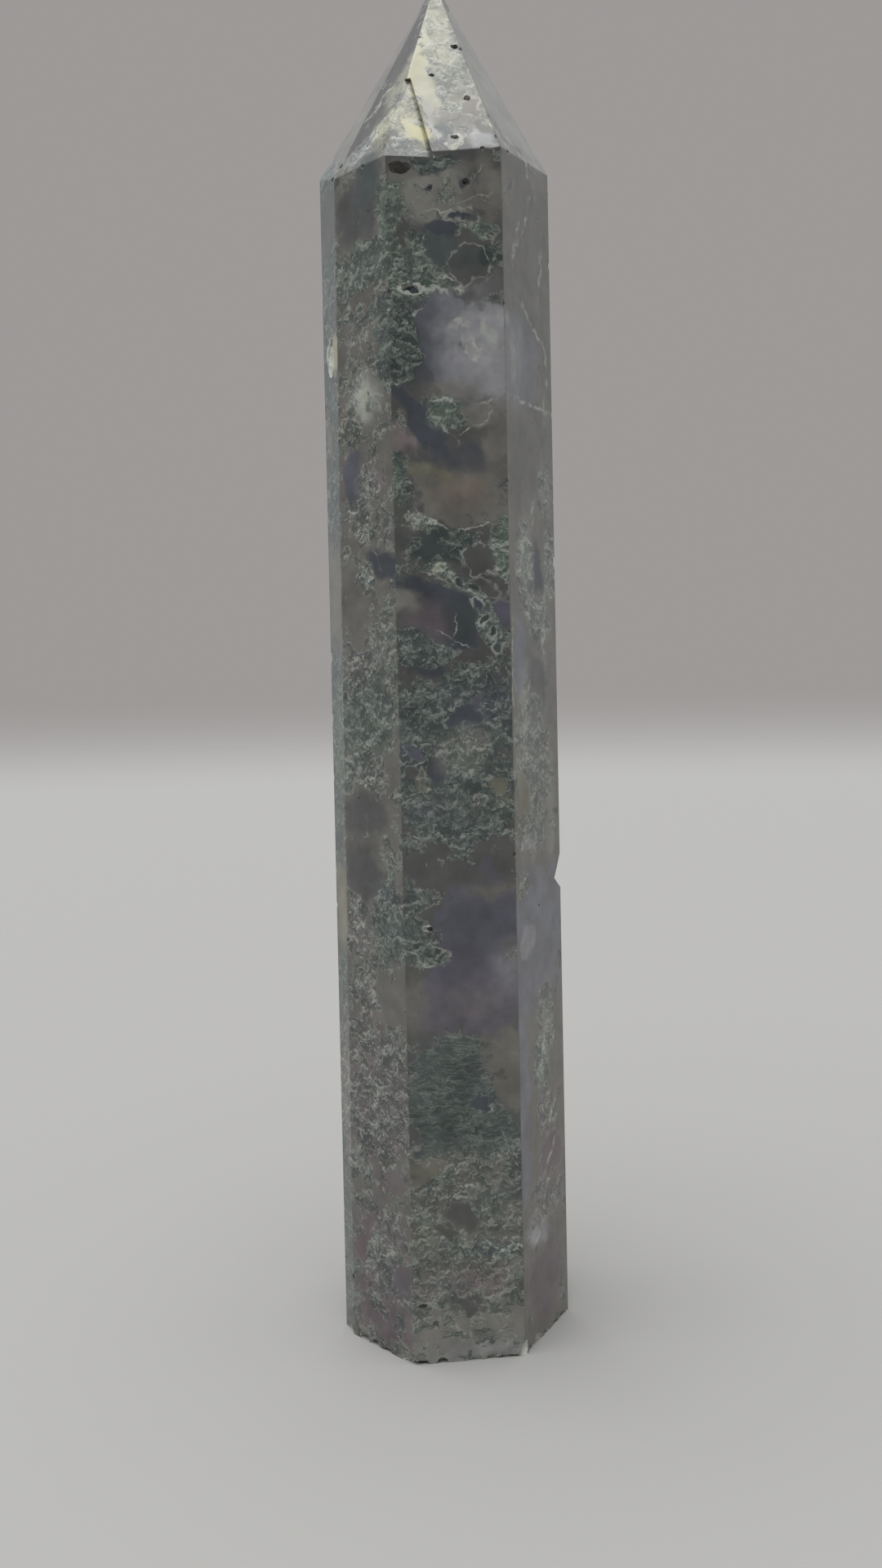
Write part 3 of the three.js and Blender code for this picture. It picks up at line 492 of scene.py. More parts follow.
REAR_LEFT = (
    ground("ground", "charcoal", 0.6, 0.5),
    region("foot", (0, 6), (8, 9), "mauve", 0.6, 0.6, soft=0.4),
    region("lace", (-2, 24), (4, 8), "mauve", 1.0, 0.85),
    window("window", (1, 40.6), (6.8, 4.2), "plum", tilt=-28, soft=0.2, rim=0.25),
    window("window head", (-2.4, 46), (2.4, 4.4), "charcoal", tilt=16, soft=0.5),
    region("moss", (0, 62), (6.6, 9), "teal", 1.0, 0.45),
    window("gap", (1.6, 66), (2.2, 2.6), "night", tilt=20),
    window("brown", (-1, 83), (7, 4), "smoke", tilt=-30, soft=0.2, rim=0.25),
    window("brown head", (2.4, 88), (2.8, 4), "umber", tilt=24, soft=0.6),
    region("green", (1, 101), (5, 6), "moss", 1.0, 0.55),
    region("haze", (0, 117.4), (7.2, 4), "lavender", 0.05, tilt=22, soft=0.2, rim=0.25),
    region("haze head", (-2.6, 122.6), (2.6, 3.6), "smoke", 0.05, tilt=-24, soft=0.5),
    region("tip", (0, 146), (9, 8.6), "ash", 0.5, 0.9, soft=0.05),
)

# Each long face by the turn of its outward side from the front, in degrees towards the right.
Face = namedtuple("Face", "name turn regions veins")
FACES = (
    Face("front", 7.5, FRONT, FRONT_VEINS),
    Face("right", 62.5, RIGHT, RIGHT_VEINS),
    Face("rear right", 126, REAR_RIGHT, ()),
    Face("rear", 186, REAR, ()),
    Face("rear left", 246.5, REAR_LEFT, ()),
    Face("narrow left", 292, NARROW, ()),
    Face("left", 313, LEFT, LEFT_VEINS),
)

# The unrolled faces lie side by side, this many mm apart, and the attribute holds each corner's place.
FACE_SPACING = 40.0
UNROLLED = "unrolled"

# How the pattern is drawn. RIM_WIDTH is in mm, SIDE_BY_SIDE counts the regions that are worked out at
# one time, NO_SHIFT moves nothing that shows, and LIGHT_STEP is the short way towards the light along
# which the moss is compared with itself, for the painted light and shade on its loops. BARE_GROWTH is
# moss, paleness and streaks outside all regions.
RIM_WIDTH = 0.14
SIDE_BY_SIDE = 8
NO_SHIFT = 1e-6
LIGHT_STEP = (-0.06, 0.0, 0.22)
BARE_GROWTH = (0.4, 0.5, 0.0)
THIRDS = (0.333, 0.333, 0.333)
BLACK = (0.0, 0.0, 0.0, 1.0)
# The tone is darkened by this for the painted shade in the hollows of the moss.
HOLLOW_SHADE_TINT = (0.45, 0.5, 0.5, 1.0)
DUST_TONE = (0.06, 0.06, 0.06, 1.0)

# Heights in mm between which the frosted white on the chips of the rim fades out, and the pale chip in
# the narrow left face: the middle of its height and the distances from it over which its white fades
# out. This white is partly the frosted white of broken agate and partly painted light that brightens
# the chips in their shade.
RIM_FROST_AND_LIGHT = (2.8, 4.0)
WHITE_CHIP = 115.3
CHIP_FROST_AND_LIGHT = (2.5, 3.5)

# Agate bends light by this much, and its polish is a little duller than clean glass.
AGATE_IOR = 1.54
POLISH_GLOSS = 0.34
BUMP_HEIGHT = 0.1 * MM


class Value:
    """One output of a shader node, which takes part in sums as a number does."""

    def __init__(self, graph, socket):
        self.graph = graph
        self.socket = socket

    def __add__(self, other):
        return self.graph.math("ADD", self, other)

    __radd__ = __add__

    def __mul__(self, other):
        return self.graph.math("MULTIPLY", self, other)

    __rmul__ = __mul__

    def __sub__(self, other):
        return self.graph.math("SUBTRACT", self, other)

    def __rsub__(self, other):
        return self.graph.math("SUBTRACT", other, self)

    def __truediv__(self, other):
        return self.graph.math("DIVIDE", self, other)

    def __rtruediv__(self, other):
        return self.graph.math("DIVIDE", other, self)

    def __abs__(self):
        return self.graph.math("ABSOLUTE", self)

    def other(self, name):
        """Another output of the same node."""
        return Value(self.graph, self.socket.node.outputs[name])


def socket_kind(value):
    """The kind of socket that takes a value, or that a plain number, vector or colour needs."""
    if isinstance(value, Value):
        return value.socket.bl_idname
    if isinstance(value, tuple):
        return "NodeSocketColor" if len(value) == 4 else "NodeSocketVector"
    return "NodeSocketFloat"


class Graph:
    """The nodes of one material, group or world, added by plain calls."""

    def __init__(self, tree):
        self.tree = tree
        tree.nodes.clear()

    def node(self, kind, settings=None, inputs=None, output=0):
        """Add a node, set it up, fill or join its sockets, and give back one of its outputs."""
        made = self.tree.nodes.new(kind)
        for name, setting in (settings or {}).items():
            setattr(made, name, setting)
        for name, value in (inputs or {}).items():
            if isinstance(value, Value):
                self.tree.links.new(value.socket, made.inputs[name])
            else:
                made.inputs[name].default_value = value
        return Value(self, made.outputs[output]) if made.outputs else made

    def group(self, name, takes, fill):
        """A node group. takes names its inputs, and fill(graph, inputs) gives its outputs by name."""
        tree = bpy.data.node_groups.get(name)
        if tree is None:
            tree = bpy.data.node_groups.new(name, "ShaderNodeTree")
            inner = Graph(tree)
            for label, value in takes.items():
                tree.interface.new_socket(label, in_out="INPUT", socket_type=socket_kind(value))
            entry = inner.node("NodeGroupInput")
            outputs = fill(inner, {label: entry.other(label) for label in takes})
            for label, value in outputs.items():
                tree.interface.new_socket(label, in_out="OUTPUT", socket_type=value.socket.bl_idname)
            inner.node("NodeGroupOutput", {}, outputs)
        return self.node("ShaderNodeGroup", {"node_tree": tree}, takes)

    def math(self, operation, *values):
        """A Math node on up to three values."""
        return self.node("ShaderNodeMath", {"operation": operation}, dict(enumerate(values)))

    def vector(self, operation, *values, output=0):
        """A Vector Math node."""
        return self.node("ShaderNodeVectorMath", {"operation": operation}, dict(enumerate(values)), output)

    def scaled(self, vector, scale):
        """A vector times a number."""
        return self.node("ShaderNodeVectorMath", {"operation": "SCALE"}, {0: vector, "Scale": scale})

    def length(self, vector):
        """How long a vector is."""
        return self.vector("LENGTH", vector, output="Value")

    def ease(self, value, low, high, start=0.0, end=1.0):
        """A smooth step from start to end while the value goes from low to high."""
        return self.node("ShaderNodeMapRange", {"interpolation_type": "SMOOTHSTEP"},
                         {0: value, 1: low, 2: high, 3: start, 4: end})

    def spread(self, value, low, high, start=0.0, end=1.0):
        """A straight change from start to end while the value goes from low to high."""
        return self.node("ShaderNodeMapRange", {}, {0: value, 1: low, 2: high, 3: start, 4: end})

    def blend(self, share, first, second, mode="MIX"):
        """First colour or, by its share, the second."""
        return self.node("ShaderNodeMix", {"data_type": "RGBA", "blend_type": mode},
                         {0: share, 6: first, 7: second}, 2)

    def blend_vector(self, share, first, second):
        """First vector or, by its share, the second."""
        return self.node("ShaderNodeMix", {"data_type": "VECTOR"}, {0: share, 4: first, 5: second}, 1)

    def noise(self, at, scale, detail=2.0, roughness=0.5, output=0):
        """Cloudy noise about 0.5; scale is in waves a millimetre."""
        return self.node("ShaderNodeTexNoise", {},
                         {"Vector": at, "Scale": scale, "Detail": detail, "Roughness": roughness}, output)

    def cells(self, at, scale):
        """Distance to the nearest cell's middle; scale is in cells a millimetre."""
        return self.node("ShaderNodeTexVoronoi", {"feature": "F1"}, {"Vector": at, "Scale": scale},
                         "Distance")

    def around(self, value, middle, half):
        """1 where a value is just the middle one, falling to 0 at half away from it."""
        return self.spread(abs(value - middle), 0.0, half, 1.0, 0.0)


def from_screen(tone):
    """The linear light value of a tone picked on screen, with full alpha."""
    light = [c / 12.92 if c <= 0.04045 else ((c + 0.055) / 1.055) ** 2.4 for c in tone]
    return (*light, 1.0)


def stone_tone(colours, name):
    """A colour of the stone, by name."""
    return from_screen(getattr(colours, name))


def jitter(graph, at, scale, reach, detail):
    """A vector that wanders by up to about half of reach each way."""
    wander = graph.noise(at, scale, detail, output="Color")
    centred = graph.vector("SUBTRACT", wander, (0.5, 0.5, 0.5))
    return graph.scaled(centred, reach * 2)


def ellipse_offset(graph, spot, index, at, size, tilt):
    """Distance from the middle of an ellipse on a face: 1 on its outline."""
    local = graph.node(
        "ShaderNodeMapping", {"vector_type": "TEXTURE"},
        {"Vector": spot, "Location": (FACE_SPACING * index + at[0], at[1], 0.0),
         "Rotation": (0.0, 0.0, math.radians(tilt)), "Scale": (*size, 1.0)})
    return graph.length(local)


def waiting_spot(graph, spot, growth):
    """The same spot, worked out only after growth, so that few values are held at any one time."""
    return graph.vector("MULTIPLY_ADD", growth, (NO_SHIFT, NO_SHIFT, NO_SHIFT), spot)


def face_regions(graph, spot, index, colours, tone, growth, veins):
    """Lay every region and vein of one face over what is there. Give back spot, tone, growth and veins."""
    face = FACES[index]

    def fill(inner, given):
        spot, tone, growth, veins = given["Spot"], given["Tone"], given["Growth"], given["Veins"]
        for count, item in enumerate(face.regions):
            if count % SIDE_BY_SIDE == 0:
                spot = waiting_spot(inner, spot, growth)
            away = ellipse_offset(inner, spot, index, item.at, item.size, item.tilt)
            inside = inner.ease(away, 1 - item.soft, 1 + item.soft, item.strength, 0.0)
            tone = inner.blend(inside, tone, stone_tone(colours, item.tone))
            growth = inner.blend_vector(inside, growth, (item.moss, item.pale, item.streak))
            if item.rim:
                width = RIM_WIDTH / min(item.size)
                line = inner.ease(abs(away - 1.0), 0.3 * width, 1.6 * width, item.rim, 0.0)
                veins = inner.math("MAXIMUM", veins, line)
        spot = waiting_spot(inner, spot, growth)
        for item in face.veins:
            away = ellipse_offset(inner, spot, index, item.at, (item.length, item.thickness),
                                  item.tilt)
            line = inner.ease(away, 0.5, 1.3, item.strength, 0.0)
            veins = inner.math("MAXIMUM", veins, line)
        return {"Spot": spot, "Tone": tone, "Growth": growth, "Veins": veins}

    takes = {"Spot": spot, "Tone": tone, "Growth": growth, "Veins": veins}
    laid = graph.group(face.name + " face", takes, fill)
    return [laid.other(name) for name in takes]


def spots(graph):
    """Each spot's place in the stone in mm, on the unrolled faces, and where the moss grows by it. The
    last two wander a little, so that no region is a clean ellipse."""
    place = graph.scaled(graph.node("ShaderNodeTexCoord", output="Object"), 1 / MM)
    unrolled = graph.node("ShaderNodeAttribute", {"attribute_name": UNROLLED}, output="Vector")
    broad = jitter(graph, place, 0.22, 1.5, 1.0)
    fine = jitter(graph, place, 0.85, 0.9, 4.0)
    spot = graph.vector("ADD", unrolled, graph.vector("ADD", broad, fine))
    grown = graph.vector("ADD", place, jitter(graph, place, 0.7, 0.9, 2.0))
    return place, spot, grown


# The moss at each spot: how thickly it is laid and how pale it is, its loops, finer curls and bubbles,
# each 0.5 on the middle of a thread, and how far a loop turns up to the light, which sets its painted
# light and shade. clumps is where it grows in clumps, presence where it shows, and near how little clear
# stone lies over it.
Moss = namedtuple("Moss", "laid pale loops curls bubbles lift clumps presence near")


def moss_growth(graph, place, grown, growth):
    """How the moss grows, from what the regions say of it."""
    laid = graph.node("ShaderNodeSeparateXYZ", {}, {0: growth})
    pale, streak = laid.other("Y"), laid.other("Z")
    drawn = graph.vector("MULTIPLY", grown, (0.4, 0.4, 2.2))

    def field(curly, level):
        return graph.node("ShaderNodeMix", {"data_type": "FLOAT"}, {0: streak, 2: curly, 3: level}, 0)

    def lumps(at):
        return field(graph.noise(at, 0.5, 4.0, 0.62), graph.noise(drawn, 0.7, 3.0, 0.65))

    loops = lumps(grown)
    curls = field(graph.noise(grown, 1.7, 1.0, 0.5), graph.noise(drawn, 1.9, 2.0, 0.55))
    bubbles = graph.cells(grown, 0.95)
    # The slope of the loops towards the light, which sets their painted light and shade.
    lift = loops - lumps(graph.vector("ADD", grown, LIGHT_STEP))
    clumps = graph.spread(graph.noise(grown, 0.42, 3.0, 0.6), 0.32, 0.68)
    presence = graph.ease(laid * 1.35 - clumps * 1.1, 0.0, 0.3)
    near = 1 - graph.spread(graph.noise(place, 0.33, 2.0), 0.36, 0.62) * 0.6
    return Moss(laid, pale, loops, curls, bubbles, lift, clumps, presence, near)


def lay_strands(graph, colours, colour, moss, crust):
    """Painted shade in the hollows between the loops, partly the deep moss colour, and green strands along
    them. Give back that painted shade and where the strands are, too."""
    # Painted shade: the hollows between the loops are darkened and drawn towards deep moss.
    hollow = graph.ease(moss.loops, 0.5, 0.56) * moss.presence * (0.85 - moss.clumps * 0.4)
    shadow = graph.blend(1.0, colour, HOLLOW_SHADE_TINT, "MULTIPLY")
    shade = graph.blend(0.55 - crust * 0.45, shadow, stone_tone(colours, "deep_moss"))
    colour = graph.blend(hollow, colour, shade)
    thread = graph.around(moss.loops, 0.5, 0.1)
    strands = graph.math("MAXIMUM", thread, graph.around(moss.curls, 0.5, 0.09) * 0.7)
    green = graph.blend(0.6 - crust * 0.5, colour, stone_tone(colours, "moss"))
    colour = graph.blend(graph.ease(strands, 0.1, 0.9) * moss.presence * moss.near, colour, green)
    return colour, shade, strands


def lay_rims(graph, colours, colour, moss, crust, grain):
    """Pale rims along the loops and curls and round the bubbles, broken up by the grain."""
    bubbles = graph.around(moss.bubbles, 0.4, 0.1) * (1 - moss.clumps)
    curls = graph.around(moss.curls, 0.5, 0.04) * (moss.pale * 0.6 + 0.2 - crust * 0.5)
    rims = graph.math("MAXIMUM", graph.around(moss.loops, 0.485, 0.035), bubbles)
    rims = graph.math("MAXIMUM", rims, curls)
    crisp = graph.ease(rims + (grain - 0.5) * 0.5, 0.4, 1.0) * moss.presence * moss.near
    return graph.blend(crisp * (moss.pale * 0.55 + 0.05), colour, stone_tone(colours, "lace"))


def lay_painted_light(graph, colours, colour, moss, crust, shade):
    """Painted light on the upper side of each loop, painted shade on its lower side, and painted shade in
    small pits.
    """
    painted_light = graph.ease(moss.lift, 0.0, 0.09) * moss.presence * (moss.pale * 0.55 + 0.08)
    colour = graph.blend(painted_light, colour, stone_tone(colours, "lace"))
    painted_shade = graph.ease(moss.lift, -0.09, 0.0, 1.0, 0.0) * moss.presence
    colour = graph.blend(painted_shade * (0.5 - crust * 0.15), colour, shade)
    pits = graph.ease(moss.curls, 0.62, 0.68) * moss.presence * moss.pale
    return graph.blend(pits * 0.7, colour, stone_tone(colours, "night"))


def lay_veins(graph, colours, colour, moss, veins, place):
    """The pale veins and rims of the regions and a hem where the moss ends, broken here and there."""
    hem = graph.around(moss.presence, 0.35, 0.3) * graph.ease(moss.laid, 0.05, 0.5)
    veins = graph.math("MAXIMUM", veins, hem * (moss.pale * 0.5 + 0.15))
    broken = graph.ease(graph.noise(place, 0.8, 3.0), 0.4, 0.58, 0.1, 1.0)
    return graph.blend(veins * broken * 0.75, colour, stone_tone(colours, "lace"))


def agate_pattern(graph, colours):
    """The moss, windows, clouds and veins: give the colour of the stone and how mossy it is."""

    def fill(inner, _):
        place, spot, grown = spots(inner)
        tone, growth, veins = stone_tone(colours, "charcoal"), BARE_GROWTH, 0.0
        for index in range(len(FACES)):
            spot, tone, growth, veins = face_regions(inner, spot, index, colours, tone, growth, veins)
        moss = moss_growth(inner, place, grown, growth)
        clouds = inner.spread(inner.noise(place, 0.3, 3.0, 0.6), 0.3, 0.7, 0.12, 0.68)
        grain = inner.noise(place, 4.0, 2.0, 0.6)
        crust = inner.ease(inner.vector("DOT_PRODUCT", tone, THIRDS, output="Value"), 0.36, 0.5)
        colour = inner.blend(clouds * (moss.presence * 0.4 + 0.6), tone, BLACK, "OVERLAY")
        colour, shade, strands = lay_strands(inner, colours, colour, moss, crust)
        colour = lay_rims(inner, colours, colour, moss, crust, grain)
        colour = lay_painted_light(inner, colours, colour, moss, crust, shade)
        colour = lay_veins(inner, colours, colour, moss, veins, place)
        specks = inner.spread(grain, 0.3, 0.7, 0.3, 0.0) * (moss.presence * 0.8 + 0.2)
        colour = inner.blend(specks + (1 - moss.presence) * 0.12, colour, DUST_TONE)
        return {"Colour": colour, "Mossiness": moss.presence * strands}

    made = graph.group("agate pattern", {}, fill)
    return made, made.other("Mossiness")


def agate_material(name, colours, roughness, bump, bump_scale, whitening=0.0):
    """A finish of the stone: the one pattern with the gloss and grain of that finish. bump_scale is in
    bumps a millimetre, and whitening is how much frosted white its chips carry: partly the white of
    broken agate, partly painted light that brightens them in their shade."""
    material = bpy.data.materials.new(name)
    material.use_nodes = True
    graph = Graph(material.node_tree)
    colour, mossiness = agate_pattern(graph, colours)
    place = graph.scaled(graph.node("ShaderNodeTexCoord", output="Object"), 1 / MM)
    # Frosted white on the chips: partly their own white, partly painted light in their shade.
    if whitening:
        height = graph.node("ShaderNodeSeparateXYZ", {}, {0: place}, 2)
        near_base = graph.ease(height, *RIM_FROST_AND_LIGHT, whitening, 0.0)
        chip = graph.ease(abs(height - WHITE_CHIP), *CHIP_FROST_AND_LIGHT, whitening, 0.0)
        frost_and_light = graph.math("MAXIMUM", near_base, chip)
        colour = graph.blend(frost_and_light, colour, stone_tone(colours, "lace"))
    relief = graph.noise(place, bump_scale, 2.0)
    normal = graph.node("ShaderNodeBump", {},
                        {"Strength": bump, "Distance": BUMP_HEIGHT, "Height": relief})
    inputs = {"Base Color": colour, "Roughness": mossiness * 0.12 + roughness, "IOR": AGATE_IOR,
              "Specular IOR Level": POLISH_GLOSS, "Normal": normal}
    surface = graph.node("ShaderNodeBsdfPrincipled", {}, inputs)
    graph.node("ShaderNodeOutputMaterial", {}, {"Surface": surface})
    return material


def deselect_all():
    """Leave edit mode if it is on, with nothing selected."""
    if bpy.context.object and bpy.context.object.mode != "OBJECT":
        bpy.ops.object.mode_set(mode="OBJECT")
    bpy.ops.object.select_all(action="DESELECT")


def activate(piece):
    """Select one object alone and make it the active one."""
    deselect_all()
    piece.select_set(True)
    bpy.context.view_layer.objects.active = piece


def choose(piece, kind, test):
    """In edit mode, select only the vertices, edges or faces that pass a test."""
    bpy.ops.mesh.select_mode(type=kind)
    bpy.ops.mesh.select_all(action="DESELECT")
    shape = bmesh.from_edit_mesh(piece.data)
    parts = {"VERT": shape.verts, "EDGE": shape.edges, "FACE": shape.faces}[kind]
    chosen = [part for part in parts if test(part)]
    for part in chosen:
        part.select_set(True)
    shape.select_flush_mode()
    bmesh.update_edit_mesh(piece.data)
    return len(chosen)


# A flat face by its outward side and its distance from the origin.
Plane = namedtuple("Plane", "normal reach")

# Areas that tell a ground face, or the step of a crack, from a facet of a chip, and how close two facets
# have to be in turn and reach to lie on one plane.
LEAST_TRIANGLE = 0.5 * MM * MM
LEAST_FACE = 50 * MM * MM
LEAST_STEP = 5 * MM * MM
SAME_WAY = 0.9999
SAME_REACH = 0.03 * MM

# The block is cut this far below the base, and an edge longer than LONG_EDGE can carry nicks.
BASE_SPARE = 0.5 * MM
LONG_EDGE = 3.0 * MM

# Rings of the nose: the share of the way up to where the tip faces meet, and the share of the width.
NOSE_RINGS = ((0.45, 0.6), (0.66, 0.42), (0.7, 0.3), (0.715, 0.16))

# Nicks sit on the edges and pinholes on the faces. Radii, heights and places to the sides are in mm. The
# middle of a pebble that cuts one stands off the surface by a share of its radius. An edge as long as
# NICKED_LENGTH carries the full number of nicks, and no two flaws are closer than FLAWS_APART.
NICK_SEED = 11
NICK_RADII = (0.18, 0.42)
NICK_STAND_OFF = 0.35
NICKED_LENGTH = 130 * MM
PINHOLE_RADII = (0.1, 0.2)
PINHOLE_STAND_OFF = 0.3
PINHOLE_HEIGHTS = (4, 130)
PINHOLE_SIDES = (-3.2, 3.2)
FLAWS_APART = 1.2 * MM
PEBBLE_ROUGHNESS = 0.05 * MM

# Grain of the broken surfaces: how often their facets are divided, and its two layers by their size in
# mm and their share of the height.
GRAIN_ROUNDS = 3
GRAIN_LAYERS = ((0.9, 1.0), (0.35, 0.5))

# Places of two of the three finishes among the materials of the stone.
POLISHED = 0
SAWN = 2


def ground_planes():
    """The flat faces of the stone in the frame: the 15 big ones, and the steps that a crack sank."""
    clusters = []
    for polygon in sorted(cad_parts[STONE_NODE].data.polygons, key=lambda p: -p.area):
        if polygon.area < LEAST_TRIANGLE:
            break
        reach = polygon.normal.dot(polygon.center)
        for cluster in clusters:
            if cluster[0].dot(polygon.normal) > SAME_WAY and abs(cluster[1] - reach) < SAME_REACH:
                cluster[2] += polygon.area
                break
        else:
            clusters.append([polygon.normal.copy(), reach, polygon.area])
    planes = [Plane(normal, reach) for normal, reach, area in clusters if area > LEAST_FACE]
    steps = [Plane(normal, reach) for normal, reach, area in clusters
             if LEAST_STEP < area < LEAST_FACE and reach > 0.0]
    if len(planes) != 2 * len(FACES) + 1:
        raise RuntimeError(f"the frame has {len(planes)} big flat faces, not {2 * len(FACES) + 1}")
    return planes, steps


def cut(piece, tool, operation):
    """Cut a piece with a tool, which is used up, and keep the tool's material on the cut."""
    activate(piece)
    modifier = piece.modifiers.new("cut", "BOOLEAN")
    modifier.operation = operation
    modifier.solver = "MANIFOLD"
    modifier.object = tool
    bpy.ops.object.modifier_apply(modifier=modifier.name)
    bpy.data.objects.remove(tool)


def ground_column(planes, sizes):
    """The stone as ground and polished: a block cut by every plane, with rounded edges and a nose."""
    height = CAD_BOX[1][2]
    deselect_all()
    bpy.ops.mesh.primitive_cube_add(size=2 * height, location=(0.0, 0.0, height * 0.9))
    stone = bpy.context.object
    stone.name = "moss_agate_stone"
    bpy.ops.object.transform_apply(location=True, rotation=True, scale=True)
    bpy.ops.object.mode_set(mode="EDIT")
    for plane in planes:
        if plane.normal.z > -0.5:
            middle = plane.normal * (plane.reach - sizes.polish_depth)
        else:
            middle = plane.normal * BASE_SPARE
        bpy.ops.mesh.select_all(action="SELECT")
        bpy.ops.mesh.bisect(plane_co=middle, plane_no=plane.normal, use_fill=True, clear_outer=True)
    bpy.ops.mesh.select_all(action="SELECT")
    bpy.ops.mesh.bisect(plane_co=(0.0, 0.0, sizes.nose_start), plane_no=(0.0, 0.0, 1.0), use_fill=True,
                        clear_outer=True)
    shape = bmesh.from_edit_mesh(stone.data)
    long_edges = [(edge.verts[0].co.copy(), edge.verts[1].co.copy()) for edge in shape.edges
                  if edge.calc_length() > LONG_EDGE and max(v.co.z for v in edge.verts) > 0.0]

    def rounded(edge):
        low, high = sorted(v.co.z for v in edge.verts)
        return high > 0.0 and low < sizes.nose_start - 0.1 * MM

    choose(stone, "EDGE", rounded)
    bpy.ops.mesh.bevel(offset=sizes.edge_rounding, offset_type="WIDTH", segments=4, profile=0.5,
                       affect="EDGES", clamp_overlap=False)
    draw_in_nose(stone, planes, sizes.nose_start)
    bpy.ops.mesh.select_all(action="SELECT")
    bpy.ops.mesh.normals_make_consistent(inside=False)
    bpy.ops.object.mode_set(mode="OBJECT")
    return stone, long_edges


def draw_in_nose(stone, planes, start):
    """Pull the cut top up in rings to a small blunt nose, towards the point where the tip faces meet."""
    tips = [plane for plane in planes if 0.1 < plane.normal.z < 0.9]
    apex = Matrix([plane.normal for plane in tips[:3]]).inverted() @ Vector([p.reach for p in tips[:3]])
    choose(stone, "FACE", lambda face: face.normal.z > 0.99)
    height, share = 0.0, 1.0
    for rise, width in NOSE_RINGS:
        step = (rise - height) * (apex.z - start)
        level = start + rise * (apex.z - start)
        bpy.ops.mesh.extrude_region_move(TRANSFORM_OT_translate={"value": (0.0, 0.0, step)})
        bpy.ops.transform.resize(value=(width / share, width / share, 1.0),
                                 center_override=(apex.x, apex.y, level))
        height, share = rise, width


def nick_tool(places, chance):
    """One object of rough pebbles, each where it bites a nick or a pinhole out of the surface."""
    deselect_all()
    bpy.ops.mesh.primitive_ico_sphere_add(subdivisions=2, radius=1.0)
    tool = bpy.context.object
    pebbles = [tool]
    for _ in places[1:]:
        pebble = tool.copy()
        pebble.data = tool.data.copy()
        bpy.context.scene.collection.objects.link(pebble)
        pebbles.append(pebble)
    for pebble, (middle, radius) in zip(pebbles, places):
        pebble.location = middle
        pebble.scale = [radius * chance.uniform(0.7, 1.3) for _ in range(3)]
        pebble.rotation_euler = [chance.uniform(0.0, math.tau) for _ in range(3)]
        pebble.select_set(True)
    bpy.context.view_layer.objects.active = tool
    bpy.ops.object.join()
    bpy.ops.object.transform_apply(location=True, rotation=True, scale=True)
    bpy.ops.object.mode_set(mode="EDIT")
    bpy.ops.mesh.select_all(action="SELECT")
    bpy.ops.transform.vertex_random(offset=PEBBLE_ROUGHNESS, seed=5)
    bpy.ops.object.mode_set(mode="OBJECT")
    return tool


def nick_places(planes, long_edges, sizes, chance):
    """Where the tiny nicks on the edges and the pinholes on the faces go, well apart from each other."""
    places = []

    def add(middle, radius):
        if all((middle - other).length > FLAWS_APART for other, _ in places):
            places.append((middle, radius))

    for low, high in sorted(long_edges, key=lambda pair: tuple(pair[0] + pair[1])):
        count = round(sizes.edge_nicks * (high - low).length / NICKED_LENGTH) + 1
        for _ in range(count):
            middle = low.lerp(high, chance.uniform(0.04, 0.96))
            radius = chance.uniform(*NICK_RADII) * MM
            outward = Vector((middle.x, middle.y, 0.0)).normalized()
            add(middle + outward * radius * NICK_STAND_OFF, radius)
    for plane in sorted((p for p in planes if abs(p.normal.z) < 0.1), key=lambda p: p.normal.x):
        across = Vector((-plane.normal.y, plane.normal.x, 0.0)).normalized()
        for _ in range(sizes.face_pits):
            height = chance.uniform(*PINHOLE_HEIGHTS) * MM
            middle = plane.normal * plane.reach + across * chance.uniform(*PINHOLE_SIDES) * MM
            middle.z = height
            middle -= plane.normal * (middle.dot(plane.normal) - plane.reach)
            radius = chance.uniform(*PINHOLE_RADII) * MM
            add(middle + plane.normal * radius * PINHOLE_STAND_OFF, radius)
    return places


def lies_on(plane, points):
    """Whether every point is on a plane."""
    return all(abs(plane.normal.dot(point) - plane.reach) < SAME_REACH for point in points)


def flawed_copy(planes, sizes):
    """A copy of the stone in the frame, with its chips and broken surfaces given their grain."""
    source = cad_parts[STONE_NODE]
    stone = source.copy()
    stone.data = source.data.copy()
    stone.parent = None
    bpy.context.scene.collection.objects.link(stone)
    activate(stone)
    bpy.ops.object.mode_set(mode="EDIT")
    bpy.ops.mesh.select_all(action="SELECT")
    bpy.ops.mesh.remove_doubles(threshold=0.001 * MM)

    def broken(face):
        corners = [vertex.co for vertex in face.verts]
        return not any(lies_on(plane, corners) for plane in planes)

    def coarse(face):
        return face.calc_area() > sizes.chip_grain ** 2 and broken(face)

    for _ in range(GRAIN_ROUNDS):
        if not choose(stone, "FACE", coarse):
            break
        bpy.ops.mesh.poke()
        choose(stone, "FACE", broken)
        bpy.ops.mesh.beautify_fill(angle_limit=math.radians(25))
    choose(stone, "VERT", lambda vertex: vertex.co.z > sizes.chip_roughness and all(
        broken(face) for face in vertex.link_faces))
    chips = stone.vertex_groups.new(name="chips")
    bpy.ops.object.vertex_group_assign()
    bpy.ops.object.mode_set(mode="OBJECT")
    for scale, share in GRAIN_LAYERS:
        grain = bpy.data.textures.new("chip grain", "CLOUDS")
        grain.noise_scale = scale * MM
        modifier = stone.modifiers.new("grain", "DISPLACE")
        modifier.texture = grain
        modifier.texture_coords = "LOCAL"
        modifier.vertex_group = chips.name
        modifier.strength = sizes.chip_roughness * share
        bpy.ops.object.modifier_apply(modifier=modifier.name)
    stone.vertex_groups.clear()
    return stone


